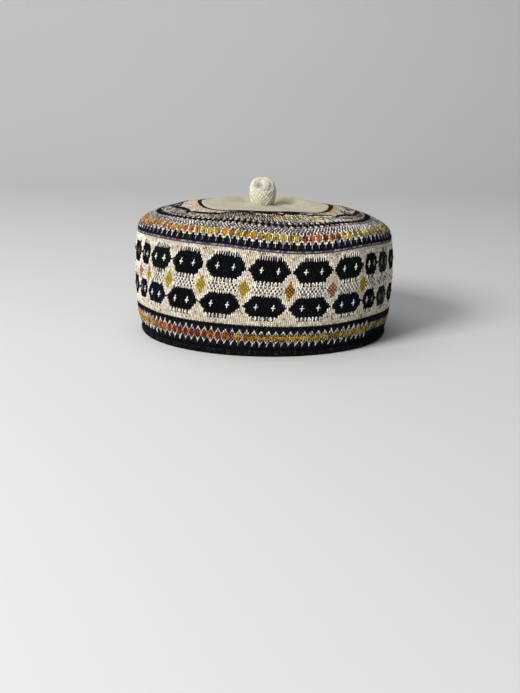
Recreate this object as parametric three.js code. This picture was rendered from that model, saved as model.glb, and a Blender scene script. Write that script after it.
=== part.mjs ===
// A Hausa cap: an oval, brimless embroidered cloth cap with an upright side band, a rounded crown,
// a plain round panel on top and a cloth knob. It stands on its rim.
// Millimetres, +Z up, the forehead towards -Y, the wearer's left towards +X, the origin on the floor
// in the middle of the rim.

import * as THREE from "three";

// Outside of the cloth
const halfLength = 101; // widest reach towards the forehead and the nape
const halfBreadth = 86; // widest reach towards the ears
const bandHeight = 79.8; // floor to the seam between the band and the crown
const crownRise = 21.2; // that seam to the edge of the plain panel
const seamLift = 2.1; // how much higher the seam is at the forehead than over the ears

// Cloth and clearances
const clothThickness = 2.2;
const panelThickness = 1.8;
const gap = 0.3; // between neighbouring pieces

// Black overcast edge on which the cap stands
const edgingHeight = 5;
const edgingThickness = 3.8;

// Lavender piping in the seam under the crown
const seamPipingWidth = 1.6;
const seamPipingProud = 0.7;

// Plain panel on top, and the black piping round it
const panelHalfLength = 51;
const panelHalfBreadth = 49;
const panelPipingWidth = 2;
const panelPipingProud = 0.8;
const panelPuff = 0.9; // how far the panel swells above its edge, all over
const panelDish = 2.1; // how far it sinks again round the knob

// Black ring sewn onto the crown: an eye shape round the panel, with its points fore and aft
const crownRingTip = 22; // how far its points reach past the panel
const crownRingClearance = 0.9; // between it and the panel's piping, at the ears
const crownRingWidth = 2;
const crownRingHeight = 1.2;

// Knob of rolled cloth
const knobHeight = 22.4;
const knobRadius = 10;
const knobOffset = -2.6; // towards the forehead
const knobLean = 1.2; // how far its top leans that way
const knobFootLift = 0.2; // its flat foot clears the panel's slope
const hollowDepth = 3.4; // the roll's open end, near the top
const hollowSpread = 0.62; // radians from the hollow's middle to its lip
const hollowWay = new THREE.Vector3(0.62, -0.42, 0.66).normalize(); // from the knob's middle
const knobMiddle = 0.6; // share of its height

// Steps of the meshes
const segments = 64; // round the cap
const bandRows = 10;
const crownRows = 10;
const knobSegments = 24;

// Band, from its foot to the seam. up: share of the band's height. reach: share of the widest reach.
const bandSections = [
  { up: 0.0, reach: 0.953 },
  { up: 0.1, reach: 0.973 },
  { up: 0.22, reach: 0.987 },
  { up: 0.36, reach: 0.995 },
  { up: 0.54, reach: 1.0 },
  { up: 0.7, reach: 1.0 },
  { up: 0.86, reach: 0.997 },
  { up: 1.0, reach: 0.979 },
];

// Crown, from the seam to the panel. out: 1 at the seam, 0 at the panel. up: share of the crown's rise.
const crownSections = [
  { out: 1.0, up: 0.0 },
  { out: 0.988, up: 0.158 },
  { out: 0.958, up: 0.29 },
  { out: 0.905, up: 0.405 },
  { out: 0.83, up: 0.507 },
  { out: 0.73, up: 0.602 },
  { out: 0.6, up: 0.7 },
  { out: 0.42, up: 0.81 },
  { out: 0.2, up: 0.93 },
  { out: 0.0, up: 1.0 },
];

// Dents and swellings of the band. angle and width in degrees from the left ear towards the nape,
// up and tall as shares of the band's height, depth in millimetres, inwards where positive.
const bandFolds = [
  { angle: -66, width: 9, up: 0.5, tall: 0.7, depth: 1.3 }, // crease behind the forehead
  { angle: -78, width: 10, up: 0.45, tall: 0.5, depth: -0.6 },
  { angle: 58, width: 11, up: 0.08, tall: 0.3, depth: 2.2 }, // tuck over the nape
  { angle: 44, width: 13, up: 0.55, tall: 0.6, depth: 0.9 },
  { angle: 22, width: 18, up: 0.3, tall: 0.5, depth: -0.8 },
  { angle: -25, width: 20, up: 0.25, tall: 0.4, depth: -0.7 },
  { angle: 128, width: 14, up: 0.4, tall: 0.6, depth: 1.4 }, // creases on the wearer's right
  { angle: 165, width: 22, up: 0.3, tall: 0.5, depth: -0.9 },
  { angle: 222, width: 12, up: 0.5, tall: 0.8, depth: 1.2 },
];

// Soft hollows of the crown. out: where between the panel and the seam, depth in millimetres.
const crownFolds = [
  { angle: -40, width: 16, out: 0.45, wide: 0.35, depth: 0.8 },
  { angle: 15, width: 18, out: 0.4, wide: 0.35, depth: 0.5 },
  { angle: 65, width: 15, out: 0.5, wide: 0.4, depth: 0.9 },
  { angle: 140, width: 20, out: 0.45, wide: 0.4, depth: 0.8 },
  { angle: 235, width: 18, out: 0.5, wide: 0.4, depth: 0.7 },
];

// How far the seam and the panel's edge stand above or below their planes, in millimetres.
// angle and width in degrees from the left ear towards the nape.
const edgeLifts = [
  { angle: 0, width: 75, seam: 1.35, panel: 0 }, // all along the left
  { angle: 16, width: 19, seam: -3.2, panel: 0.2 }, // a sag behind the left ear
  { angle: 180, width: 52, seam: 0, panel: -5.2 }, // over the right ear
];

// Panel, from its edge to its middle. reach: share of its reach. up and sunk: shares of its swelling
// and of its dish.
const panelSections = [
  { reach: 1.0, up: 0.0, sunk: 0.0 },
  { reach: 0.965, up: 0.5, sunk: 0.01 },
  { reach: 0.9, up: 0.85, sunk: 0.06 },
  { reach: 0.78, up: 0.98, sunk: 0.24 },
  { reach: 0.62, up: 1.0, sunk: 0.55 },
  { reach: 0.42, up: 1.0, sunk: 0.88 },
  { reach: 0.2, up: 1.0, sunk: 1.0 },
];

// Puffed cloth inside the panel's edge. reach: where its top runs. wide: how far it spreads from there.
const panelSwells = [
  { angle: 146, width: 36, reach: 0.74, wide: 0.27, rise: 2.7 },
  { angle: 214, width: 36, reach: 0.74, wide: 0.27, rise: 2.7 },
];

// Black edging. out: share of its thickness, away from the wall's middle. up: share of its height.
const edgingSection = [
  { out: -0.32, up: 0.0 },
  { out: 0.3, up: 0.0 },
  { out: 0.47, up: 0.16 },
  { out: 0.5, up: 0.5 },
  { out: 0.42, up: 0.82 },
  { out: 0.24, up: 1.0 },
  { out: -0.3, up: 1.0 },
  { out: -0.5, up: 0.55 },
];

// Piping, whose flange goes through the seam. out: share of how proud it stands, or the flange.
// along: share of half its width.
const pipingSections = [
  { flange: true, out: 0, along: -1 },
  { flange: false, out: 0.25, along: -1 },
  { flange: false, out: 1, along: -0.62 },
  { flange: false, out: 1, along: 0.62 },
  { flange: false, out: 0.25, along: 1 },
  { flange: true, out: 0, along: 1 },
];

// Sewn ring. out: share of its height. along: share of half its width.
const crownRingSections = [
  { out: 0, along: -0.7 },
  { out: 0.45, along: -1 },
  { out: 1, along: -0.5 },
  { out: 1, along: 0.5 },
  { out: 0.45, along: 1 },
  { out: 0, along: 0.7 },
];

// Knob, from its foot to its top. up: share of its height. reach: share of its radius.
const knobSections = [
  { up: 0.0, reach: 0.52 },
  { up: 0.045, reach: 0.68 },
  { up: 0.11, reach: 0.8 },
  { up: 0.21, reach: 0.89 },
  { up: 0.34, reach: 0.95 },
  { up: 0.5, reach: 1.0 },
  { up: 0.64, reach: 1.0 },
  { up: 0.76, reach: 0.93 },
  { up: 0.86, reach: 0.79 },
  { up: 0.94, reach: 0.56 },
  { up: 0.985, reach: 0.28 },
];

// Folds fade out towards the seam, and nearly at the foot, so that the edging and the crown fit.
const footGive = 0.08;
const bandFoot = edgingHeight + gap;
const crownSlope = seamLift / halfLength;
const up = new THREE.Vector3(0, 0, 1);

/** A soft bump: 1 in the middle, 0 from one width away. */
function bump(distance, width) {
  const share = Math.min(1, Math.abs(distance) / width);
  return (1 + Math.cos(Math.PI * share)) / 2;
}

/** The angle between two directions, both in degrees. */
function turnBetween(a, b) {
  return Math.abs(((((a - b) % 360) + 540) % 360) - 180);
}

/** A point of the oval with these half sizes, pushed inwards by a fold's depth. */
function ovalPoint(breadth, length, height, angle, depth = 0) {
  const outwards = new THREE.Vector3(Math.cos(angle) / breadth, Math.sin(angle) / length, 0);
  outwards.normalize().multiplyScalar(-depth);
  const point = new THREE.Vector3(breadth * Math.cos(angle), length * Math.sin(angle), height);
  return point.add(outwards);
}

/** How much of a row of a table with an angle and a width is felt at an angle in degrees. */
function feltAt(degrees, row) {
  return bump(turnBetween(degrees, row.angle), 2 * row.width);
}

/** How far an edge is lifted at an angle in degrees; the edge is the seam or the panel. */
function liftOf(edge, degrees) {
  return edgeLifts.reduce((sum, row) => sum + row[edge] * feltAt(degrees, row), 0);
}

/** The band's outside from its foot to the seam, as a curve, at one angle round the cap. */
function bandLine(angle) {
  const degrees = THREE.MathUtils.radToDeg(angle);
  const lift = liftOf("seam", degrees);
  const points = bandSections.map((row) => {
    const depth = bandFolds.reduce((sum, fold) => {
      return sum + fold.depth * feltAt(degrees, fold) * bump(row.up - fold.up, fold.tall);
    }, 0);
    const held = Math.sin(Math.PI * Math.min(0.5, 2 * Math.min(row.up + footGive, 1 - row.up)));
    const height = bandFoot + row.up * (bandHeight - bandFoot);
    const reach = row.reach;
    const point = ovalPoint(halfBreadth * reach, halfLength * reach, height, angle, depth * held);
    point.z += (lift - crownSlope * point.y) * row.up;
    return point;
  });
  return new THREE.CatmullRomCurve3(points, false, "centripetal");
}

/** The crown's outside from the seam to the panel's edge, as a curve, at one angle round the cap. */
function crownLine(angle) {
  const seamReach = bandSections.at(-1).reach;
  const degrees = THREE.MathUtils.radToDeg(angle);
  const seamLifted = liftOf("seam", degrees);
  const panelLifted = liftOf("panel", degrees);
  const points = crownSections.map((row) => {
    const breadth = panelHalfBreadth + (halfBreadth * seamReach - panelHalfBreadth) * row.out;
    const length = panelHalfLength + (halfLength * seamReach - panelHalfLength) * row.out;
    const sunk = crownFolds.reduce((sum, fold) => {
      return sum + fold.depth * feltAt(degrees, fold) * bump(row.out - fold.out, fold.wide);
    }, 0);
    const point = ovalPoint(breadth, length, bandHeight + row.up * crownRise - sunk, angle);
    point.z += THREE.MathUtils.lerp(panelLifted, seamLifted, row.out) - crownSlope * point.y;
    return point;
  });
  return new THREE.CatmullRomCurve3(points, false, "centripetal");
}

/** Where a line has gone this many millimetres, with the directions out of the cloth and up it. */
function stationOn(line, angle, distance) {
  const step = 0.01;
  const here = line(angle);
  const share = THREE.MathUtils.clamp(distance / here.getLength(), 0, 1);
  const point = here.getPointAt(share);
  const along = here.getTangentAt(share);
  const round = line(angle + step).getPointAt(share).sub(line(angle - step).getPointAt(share));
  const out = round.cross(along).normalize();
  return { point, along, out };
}

/** How far along a line it stops being outside a shape. */
function crossingOf(line, isOutside) {
  const length = line.getLength();
  let before = 0;
  let after = 1;
  for (let halving = 0; halving < 16; halving += 1) {
    const middle = (before + after) / 2;
    if (isOutside(line.getPointAt(middle))) {
      before = middle;
    } else {
      after = middle;
    }
  }
  return before * length;
}

/** A closed mesh from loops of points that are joined in turn, the last to the first if tube is set. */
function skinOf(loops, tube) {
  const around = loops[0].length;
  const positions = loops.flat().flatMap((p) => [p.x, p.y, p.z]);
  const index = [];
  const joins = tube ? loops.length : loops.length - 1;
  for (let i = 0; i < joins; i += 1) {
    const low = i * around;
    const high = ((i + 1) % loops.length) * around;
    for (let j = 0; j < around; j += 1) {
      const next = (j + 1) % around;
      index.push(low + j, low + next, high + next, low + j, high + next, high + j);
    }
  }
  if (!tube) {
    closeEnd(positions, index, loops[0], 0, true);
    closeEnd(positions, index, loops.at(-1), (loops.length - 1) * around, false);
  }
  const geometry = new THREE.BufferGeometry();
  geometry.setAttribute("position", new THREE.Float32BufferAttribute(positions, 3));
  geometry.setIndex(index);
  geometry.computeVertexNormals();
  return geometry;
}

/** Closes an end loop with a fan round its middle. */
function closeEnd(positions, index, loop, start, first) {
  const middle = loop.reduce((sum, p) => sum.add(p), new THREE.Vector3()).divideScalar(loop.length);
  const centre = positions.length / 3;
  positions.push(middle.x, middle.y, middle.z);
  for (let j = 0; j < loop.length; j += 1) {
    const a = start + j;
    const b = start + ((j + 1) % loop.length);
    index.push(centre, first ? b : a, first ? a : b);
  }
}

/** One loop of points round the cap, a point for each segment. */
function loopOf(pointAt, count = segments) {
  return Array.from({ length: count }, (_, j) => pointAt((2 * Math.PI * j) / count));
}

/** A wall of cloth along a line, from a start to a stretch short of its end. */
function clothWall(line, start, endMargin, rows) {
  const outside = [];
  const inside = [];
  for (let i = 0; i <= rows; i += 1) {
    const spot = (angle) => {
      const length = line(angle).getLength();
      return stationOn(line, angle, start + ((length - endMargin - start) * i) / rows);
    };
    outside.push(loopOf((angle) => spot(angle).point));
    inside.unshift(
      loopOf((angle) => {
        const { point, out } = spot(angle);
        return point.addScaledVector(out, -clothThickness);
      }),
    );
  }
  return skinOf([...outside, ...inside], true);
}

/** A ring whose section is given as rows of out and along, in millimetres, from a spot on the cloth. */
function ringOf(spotAt, section) {
  const loops = section.map(({ out, along }) =>
    loopOf((angle) => {
      const spot = spotAt(angle);
      return spot.point.addScaledVector(spot.out, out).addScaledVector(spot.along, along);
    }),
  );
  return skinOf(loops, true);
}

/** The section of piping sewn into a seam: a bead outside, and a flange through the cloth. */
function pipingSection(width, proud) {
  return pipingSections.map((row) => ({
    out: row.flange ? -clothThickness : row.out * proud,
    along: (row.along * width) / 2,
  }));
}

/** The side band, from above the edging to under the seam's piping. */
function sideBand() {
  return clothWall(bandLine, 0, seamPipingWidth / 2 + gap, bandRows);
}

/** The crown, from above the seam's piping to the panel's piping. */
function crown() {
  return clothWall(crownLine, seamPipingWidth / 2 + gap, panelPipingWidth / 2 + gap, crownRows);
}

/** The edge on which the cap stands: flat underneath, upright, centred under the band's wall. */
function rimEdging() {
  const { reach } = bandSections[0];
  const section = edgingSection.map((row) => ({
    out: row.out * edgingThickness - clothThickness / 2,
    along: row.up * edgingHeight,
  }));
  const spotAt = (angle) => {
    const point = ovalPoint(halfBreadth * reach, halfLength * reach, 0, angle);
    const out = ovalPoint(1 / halfBreadth, 1 / halfLength, 0, angle).normalize();
    return { point, out, along: up };
  };
  return ringOf(spotAt, section);
}

/** The piping in the seam between the band and the crown. */
function seamPiping() {
  const spotAt = (angle) => stationOn(crownLine, angle, 0);
  return ringOf(spotAt, pipingSection(seamPipingWidth, seamPipingProud));
}

/** The piping round the plain panel. */
function panelPiping() {
  const spotAt = (angle) => stationOn(crownLine, angle, crownLine(angle).getLength());
  return ringOf(spotAt, pipingSection(panelPipingWidth, panelPipingProud));
}

/** The raised ring sewn onto the crown, round an eye shape of two equal arcs. */
function crownRing() {
  const half = crownRingWidth / 2;
  const section = crownRingSections.map((row) => ({
    out: gap + row.out * crownRingHeight,
    along: row.along * half,
  }));
  const eyeLength = panelHalfLength + crownRingTip;
  const eyeBreadth = panelHalfBreadth + panelPipingWidth / 2 + crownRingClearance + half;
  const radius = (eyeLength ** 2 + eyeBreadth ** 2) / (2 * eyeBreadth);
  const offset = radius - eyeBreadth;
  const isOutside = (point) => Math.hypot(Math.abs(point.x) + offset, point.y) > radius;
  const spotAt = (angle) => stationOn(crownLine, angle, crossingOf(crownLine(angle), isOutside));
  return ringOf(spotAt, section);
}

/** The middle of the panel, level with its edge. */
function panelMiddle() {
  return new THREE.Vector3(0, 0, bandHeight + crownRise);
}

/** A spot on the panel at one of its sections, this far under its upper face. */
function panelSpot(angle, section, drop) {
  const seam = stationOn(crownLine, angle, crownLine(angle).getLength());
  const edge = seam.point.addScaledVector(seam.along, panelPipingWidth / 2 + gap);
  const out = seam.out.lerp(up, 1 - section.reach);
  const spot = panelMiddle().lerp(edge, section.reach);
  const degrees = THREE.MathUtils.radToDeg(angle);
  const rise = panelSwells.reduce((sum, row) => {
    return sum + row.rise * feltAt(degrees, row) * bump(section.reach - row.reach, row.wide);
  }, 0);
  spot.z -= panelDish * section.sunk;
  return spot.addScaledVector(out, panelPuff * section.up + rise - drop);
}

/** The plain panel inside its piping. */
function crownPanel() {
  const faceAt = (drop) => panelSections.map((row) => loopOf((angle) => panelSpot(angle, row, drop)));
  return skinOf([...faceAt(panelThickness).reverse(), ...faceAt(0)], false);
}

/** The knob: a rolled ball on a short stem, with a hollow where the roll is open. */
function crownKnob() {
  const middle = new THREE.Vector3(0, 0, knobMiddle * knobHeight);
  const loops = knobSections.map((row) =>
    loopOf((angle) => {
      const reach = knobRadius * row.reach;
      const point = new THREE.Vector3(reach * Math.cos(angle), reach * Math.sin(angle), knobHeight * row.up);
      const inwards = middle.clone().sub(point).normalize();
      const turned = hollowWay.angleTo(inwards.clone().negate());
      point.addScaledVector(inwards, hollowDepth * bump(turned, hollowSpread));
      point.y -= knobLean * row.up ** 2;
      return point;
    }, knobSegments),
  );
  return skinOf(loops, false);
}

/** A named piece of cloth or thread. */
function piece(name, geometry, color, roughness) {
  const mesh = new THREE.Mesh(
    geometry,
    new THREE.MeshStandardMaterial({ color, roughness, metalness: 0 }),
  );
  mesh.name = name;
  return mesh;
}

const cap = new THREE.Group();
cap.add(
  piece("rim_edging", rimEdging(), 0x0c0b0d, 0.95),
  piece("side_band", sideBand(), 0xc9bda6, 0.9),
  piece("seam_piping", seamPiping(), 0x574f66, 0.85),
  piece("crown", crown(), 0xa39c99, 0.9),
  piece("crown_ring", crownRing(), 0x0d0c0e, 0.9),
  piece("panel_piping", panelPiping(), 0x0c0b0d, 0.9),
  piece("crown_panel", crownPanel(), 0xc8c6ae, 0.92),
);

const knob = piece("crown_knob", crownKnob(), 0xd9d5c2, 0.88);
knob.position.copy(panelMiddle());
knob.position.y = knobOffset;
knob.position.z += panelPuff - panelDish + gap + knobFootLift;
cap.add(knob);

export default cap;
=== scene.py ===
"""A Hausa cap: the cloth shells, the hand embroidery, the piping and the knob, dressed round the frame.

Lengths are in millimetres up to the point where a mesh is made, and in metres from there on. The forehead is
towards -Y, the nape towards +Y, and the wearer's left, which the camera sees, towards +X.
"""

import logging
import math
from dataclasses import dataclass, field
from enum import Enum
from itertools import product

import bmesh
import bpy
import numpy as np
from mathutils import Matrix, Vector


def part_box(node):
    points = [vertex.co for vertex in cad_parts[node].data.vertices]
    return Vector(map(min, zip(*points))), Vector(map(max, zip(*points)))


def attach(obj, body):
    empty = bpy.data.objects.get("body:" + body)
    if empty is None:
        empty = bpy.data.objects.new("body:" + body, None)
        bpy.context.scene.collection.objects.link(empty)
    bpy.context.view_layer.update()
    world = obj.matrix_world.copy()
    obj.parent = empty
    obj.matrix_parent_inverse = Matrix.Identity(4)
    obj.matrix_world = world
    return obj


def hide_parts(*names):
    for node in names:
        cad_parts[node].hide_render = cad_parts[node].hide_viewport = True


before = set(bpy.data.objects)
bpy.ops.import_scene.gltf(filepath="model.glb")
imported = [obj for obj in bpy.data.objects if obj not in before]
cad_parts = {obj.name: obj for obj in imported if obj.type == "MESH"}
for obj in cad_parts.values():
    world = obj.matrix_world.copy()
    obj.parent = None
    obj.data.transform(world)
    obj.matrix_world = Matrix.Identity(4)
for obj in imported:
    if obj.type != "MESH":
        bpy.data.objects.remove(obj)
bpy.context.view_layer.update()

LOG = logging.getLogger("cap")
MM = 0.001
SEED = 22
Array = np.ndarray
Triple = tuple[float, float, float]


class Thread(Enum):
    """Colours of the threads, as linear red, green and blue."""

    BLACK = (0.0035, 0.0033, 0.004)
    BLUE_BLACK = (0.007, 0.010, 0.025)
    GREEN_BLACK = (0.005, 0.013, 0.009)
    PURPLE_BLACK = (0.011, 0.005, 0.014)
    # Painted highlight: a grey-black mixed among the black threads, for the speckled highlights on black thread.
    SOOT = (0.022, 0.020, 0.020)
    MOSS_GREY = (0.040, 0.047, 0.036)
    TAN = (0.42, 0.26, 0.13)
    BEIGE = (0.68, 0.60, 0.45)
    PINK_BEIGE = (0.72, 0.58, 0.49)
    OLIVE_BEIGE = (0.52, 0.48, 0.34)
    CREAM = (0.80, 0.74, 0.60)
    WHITE = (0.88, 0.83, 0.76)
    PALE_BLUE = (0.52, 0.57, 0.60)
    GREY = (0.20, 0.18, 0.165)
    DUSK = (0.075, 0.055, 0.045)
    LAVENDER = (0.34, 0.29, 0.36)
    PLUM = (0.075, 0.06, 0.10)
    GOLD = (0.52, 0.27, 0.012)
    YELLOW = (0.58, 0.40, 0.03)
    OLIVE = (0.27, 0.21, 0.02)
    ORANGE = (0.46, 0.125, 0.010)
    BRICK = (0.30, 0.045, 0.010)
    BROWN = (0.10, 0.04, 0.015)
    PEACH = (0.62, 0.31, 0.18)


# Short names for the threads, in the order in which they stand above.
(
    BLACK, BLUE_BLACK, GREEN_BLACK, PURPLE_BLACK, SOOT, MOSS_GREY, TAN, BEIGE, PINK_BEIGE, OLIVE_BEIGE, CREAM,
    WHITE, PALE_BLUE, GREY, DUSK, LAVENDER, PLUM, GOLD, YELLOW, OLIVE, ORANGE, BRICK, BROWN, PEACH,
) = Thread


def bump(distance: Array, width: float) -> Array:
    """A soft bump: 1 in the middle, 0 from one width away."""
    share = np.minimum(1.0, np.abs(distance) / width)
    return (1.0 + np.cos(np.pi * share)) / 2.0


def turn_between(a: Array, b: float) -> Array:
    """The angle between two directions, both in degrees."""
    return np.abs(((a - b) % 360.0 + 540.0) % 360.0 - 180.0)


def even_turns(count: int, shift: float = 0.0) -> Array:
    """Angles spaced evenly round the cap, in radians."""
    return (np.arange(count) + shift) * 2.0 * np.pi / count


def unit(vectors: Array) -> Array:
    """The same directions with a length of 1."""
    return vectors / np.linalg.norm(vectors, axis=-1, keepdims=True)


def listed(kind: type, *rows: tuple) -> tuple:
    """A table's rows, each made into one thing of a kind."""
    return tuple(kind(*row) for row in rows)


@dataclass(frozen=True)
class BandSection:
    """A section of the band: its share of the height, and its share of the widest reach."""

    up: float
    reach: float


@dataclass(frozen=True)
class CrownSection:
    """A section of the crown: 1 at the seam and 0 at the panel, and its share of the crown's rise."""

    out: float
    up: float


@dataclass(frozen=True)
class Fold:
    """A dent where its depth is positive, or a swelling.

    The angle and the width are in degrees from the left ear towards the nape. The place and the spread are shares
    of the band's height, of the way from the panel to the seam, or of the panel's reach. The depth is in
    millimetres.
    """

    angle: float
    width: float
    place: float
    spread: float
    depth: float

    def at(self, degrees: Array, place: float) -> Array:
        """Its depth at these angles and this place."""
        across = bump(turn_between(degrees, self.angle), 2.0 * self.width)
        return self.depth * across * bump(np.array(place - self.place), self.spread)


@dataclass(frozen=True)
class EdgeLift:
    """How far the seam and the panel's edge stand above or below their planes, in millimetres."""

    angle: float
    width: float
    seam: float
    panel: float

    def felt(self, degrees: Array) -> Array:
        """How much of it is felt at these angles."""
        return bump(turn_between(degrees, self.angle), 2.0 * self.width)


class SurfacePatch:
    """The outside of one piece of cloth, measured in millimetres along lines that run up it."""

    def __init__(self, rows: Array, steps: int = 161) -> None:
        """Resamples the lines evenly.

        Args:
            rows: Points of the lines up the cloth, of shape (angles, rows, 3), evenly spaced in angle.
            steps: How many points each line gets.
        """
        lines = self._smooth(rows)
        gaps = np.linalg.norm(np.diff(lines, axis=1), axis=2)
        walked = np.concatenate([np.zeros((len(lines), 1)), np.cumsum(gaps, axis=1)], axis=1)
        self.lengths = walked[:, -1]
        shares = np.linspace(0.0, 1.0, steps)
        self.points = np.empty((len(lines), steps, 3))
        for i, line in enumerate(lines):
            for axis in range(3):
                self.points[i, :, axis] = np.interp(shares * self.lengths[i], walked[i], line[:, axis])
        round_way = np.roll(self.points, -1, axis=0) - np.roll(self.points, 1, axis=0)
        up_way = np.gradient(self.points, axis=1)
        self.normals = unit(np.cross(round_way, up_way))

    @staticmethod
    def _smooth(rows: Array, steps: int = 10) -> Array:
        """Centripetal Catmull-Rom lines through the rows.

        Args:
            rows: The lines' points, of shape (angles, rows, 3).
            steps: How many points each stretch between two rows gets.

        Returns:
            Finer lines, of shape (angles, points, 3).
        """
        before = 2.0 * rows[:, :1] - rows[:, 1:2]
        after = 2.0 * rows[:, -1:] - rows[:, -2:-1]
        ends = np.concatenate([before, rows, after], axis=1)
        parts = []
        for i in range(rows.shape[1] - 1):
            p0, p1, p2, p3 = (ends[:, i + k] for k in range(4))
            d0, d1, d2 = (
                np.sqrt(np.linalg.norm(b - a, axis=-1, keepdims=True)) for a, b in ((p0, p1), (p1, p2), (p2, p3))
            )
            leave = ((p1 - p0) / d0 - (p2 - p0) / (d0 + d1) + (p2 - p1) / d1) * d1
            arrive = ((p2 - p1) / d1 - (p3 - p1) / (d1 + d2) + (p3 - p2) / d2) * d1
            for t in np.arange(steps) / steps:
                start = (2 * t**3 - 3 * t**2 + 1) * p1 + (t**3 - 2 * t**2 + t) * leave
                finish = (3 * t**2 - 2 * t**3) * p2 + (t**3 - t**2) * arrive
                parts.append(start + finish)
        parts.append(rows[:, -1])
        return np.stack(parts, axis=1)

    def length(self, angle: Array) -> Array:
        """How far up the cloth runs at these angles."""
        count = len(self.lengths)
        place = (np.asarray(angle) / (2.0 * np.pi) * count) % count
        return np.interp(place, np.arange(count + 1), np.append(self.lengths, self.lengths[0]))

    def at(self, angle: Array, distance: Array) -> tuple[Array, Array]:
        """Places on the cloth.

        Args:
            angle: Angles round the cap, in radians.
            distance: Millimetres up the cloth from its foot.

        Returns:
            The points and the directions out of the cloth.
        """
        count, steps = self.points.shape[:2]
        place = (np.asarray(angle) / (2.0 * np.pi) * count) % count
        low = np.floor(place).astype(int) % count
        high = (low + 1) % count
        side = (place - np.floor(place))[..., None]
        height = np.clip(np.asarray(distance) / self.length(angle), 0.0, 1.0) * (steps - 1)
        under = np.minimum(np.floor(height).astype(int), steps - 2)
        rise = (height - under)[..., None]

        def mixed(grid: Array) -> Array:
            """The grid's value between its four nearest points."""
            left = grid[low, under] * (1.0 - rise) + grid[low, under + 1] * rise
            right = grid[high, under] * (1.0 - rise) + grid[high, under + 1] * rise
            return left * (1.0 - side) + right * side

        return mixed(self.points), mixed(self.normals)


@dataclass(frozen=True)
class CapForm:
    """The cap's outside, with the same sizes as the frame has."""

    half_length: float = 101.0
    half_breadth: float = 86.0
    band_foot: float = 5.3
    band_height: float = 79.8
    crown_rise: float = 21.2
    seam_lift: float = 2.1
    cloth: float = 2.2
    panel_half_length: float = 51.0
    panel_half_breadth: float = 49.0
    angles: int = 720
    foot_give: float = 0.08
    band_sections: tuple[BandSection, ...] = listed(
        BandSection,
        (0.0, 0.953), (0.1, 0.973), (0.22, 0.987), (0.36, 0.995), (0.54, 1.0), (0.7, 1.0), (0.86, 0.997),
        (1.0, 0.979),
    )
    crown_sections: tuple[CrownSection, ...] = listed(
        CrownSection,
        (1.0, 0.0), (0.988, 0.158), (0.958, 0.29), (0.905, 0.405), (0.83, 0.507), (0.73, 0.602), (0.6, 0.7),
        (0.42, 0.81), (0.2, 0.93), (0.0, 1.0),
    )
    band_folds: tuple[Fold, ...] = listed(
        Fold,
        (-66, 9, 0.5, 0.7, 1.3), (-78, 10, 0.45, 0.5, -0.6), (58, 11, 0.08, 0.3, 2.2), (44, 13, 0.55, 0.6, 0.9),
        (22, 18, 0.3, 0.5, -0.8), (-25, 20, 0.25, 0.4, -0.7), (128, 14, 0.4, 0.6, 1.4),
        (165, 22, 0.3, 0.5, -0.9), (222, 12, 0.5, 0.8, 1.2),
    )
    crown_folds: tuple[Fold, ...] = listed(
        Fold,
        (-40, 16, 0.45, 0.35, 0.8), (15, 18, 0.4, 0.35, 0.5), (65, 15, 0.5, 0.4, 0.9),
        (140, 20, 0.45, 0.4, 0.8), (235, 18, 0.5, 0.4, 0.7),
    )
    edge_lifts: tuple[EdgeLift, ...] = listed(
        EdgeLift,
        (0, 48, 1.0, 0.0), (16, 19, -3.4, 0.2), (-92, 22, -2.0, 0.0), (92, 22, -2.0, 0.0), (-55, 22, 0.0, -2.4),
        (58, 22, 0.0, -2.2), (180, 52, 0.0, -5.2),
    )

    @property
    def slope(self) -> float:
        """How much the seam and the crown rise for each millimetre towards the forehead."""
        return self.seam_lift / self.half_length

    @property
    def crown_level(self) -> float:
        """The height of the crown's edge at the panel."""
        return self.band_height + self.crown_rise

    def _oval(self, breadth: float, length: float, height: Array, depth: Array) -> Array:
        """A ring of points of an oval, pushed inwards by a depth."""
        angle = even_turns(self.angles)
        out = unit(np.stack([np.cos(angle) / breadth, np.sin(angle) / length], axis=-1))
        flat = np.stack([breadth * np.cos(angle), length * np.sin(angle)], axis=-1) - out * depth[:, None]
        return np.concatenate([flat, (height + 0.0 * angle)[:, None]], axis=1)

    def band(self) -> SurfacePatch:
        """The band's outside, from its foot to the seam."""
        degrees = np.arange(self.angles) * 360.0 / self.angles
        rows = []
        for row in self.band_sections:
            held = math.sin(math.pi * min(0.5, 2.0 * min(row.up + self.foot_give, 1.0 - row.up)))
            depth = held * sum(fold.at(degrees, row.up) for fold in self.band_folds)
            height = self.band_foot + row.up * (self.band_height - self.band_foot)
            ring = self._oval(self.half_breadth * row.reach, self.half_length * row.reach, height, depth)
            lift = sum(edge.seam * edge.felt(degrees) for edge in self.edge_lifts)
            ring[:, 2] += (lift - self.slope * ring[:, 1]) * row.up
            rows.append(ring)
        return SurfacePatch(np.stack(rows, axis=1))

    def crown(self) -> SurfacePatch:
        """The crown's outside, from the seam to the panel's edge."""
        degrees = np.arange(self.angles) * 360.0 / self.angles
        seam = self.band_sections[-1].reach
        rows = []
        for row in self.crown_sections:
            breadth = self.panel_half_breadth + (self.half_breadth * seam - self.panel_half_breadth) * row.out
            length = self.panel_half_length + (self.half_length * seam - self.panel_half_length) * row.out
            sunk = sum(fold.at(degrees, row.out) for fold in self.crown_folds)
            height = self.band_height + row.up * self.crown_rise - sunk
            ring = self._oval(breadth, length, height, np.zeros(self.angles))
            lift = 0
            for edge in self.edge_lifts:
                lift = lift + (edge.seam * row.out + edge.panel * (1.0 - row.out)) * edge.felt(degrees)
            ring[:, 2] += lift - self.slope * ring[:, 1]
            rows.append(ring)
        return SurfacePatch(np.stack(rows, axis=1))


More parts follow.
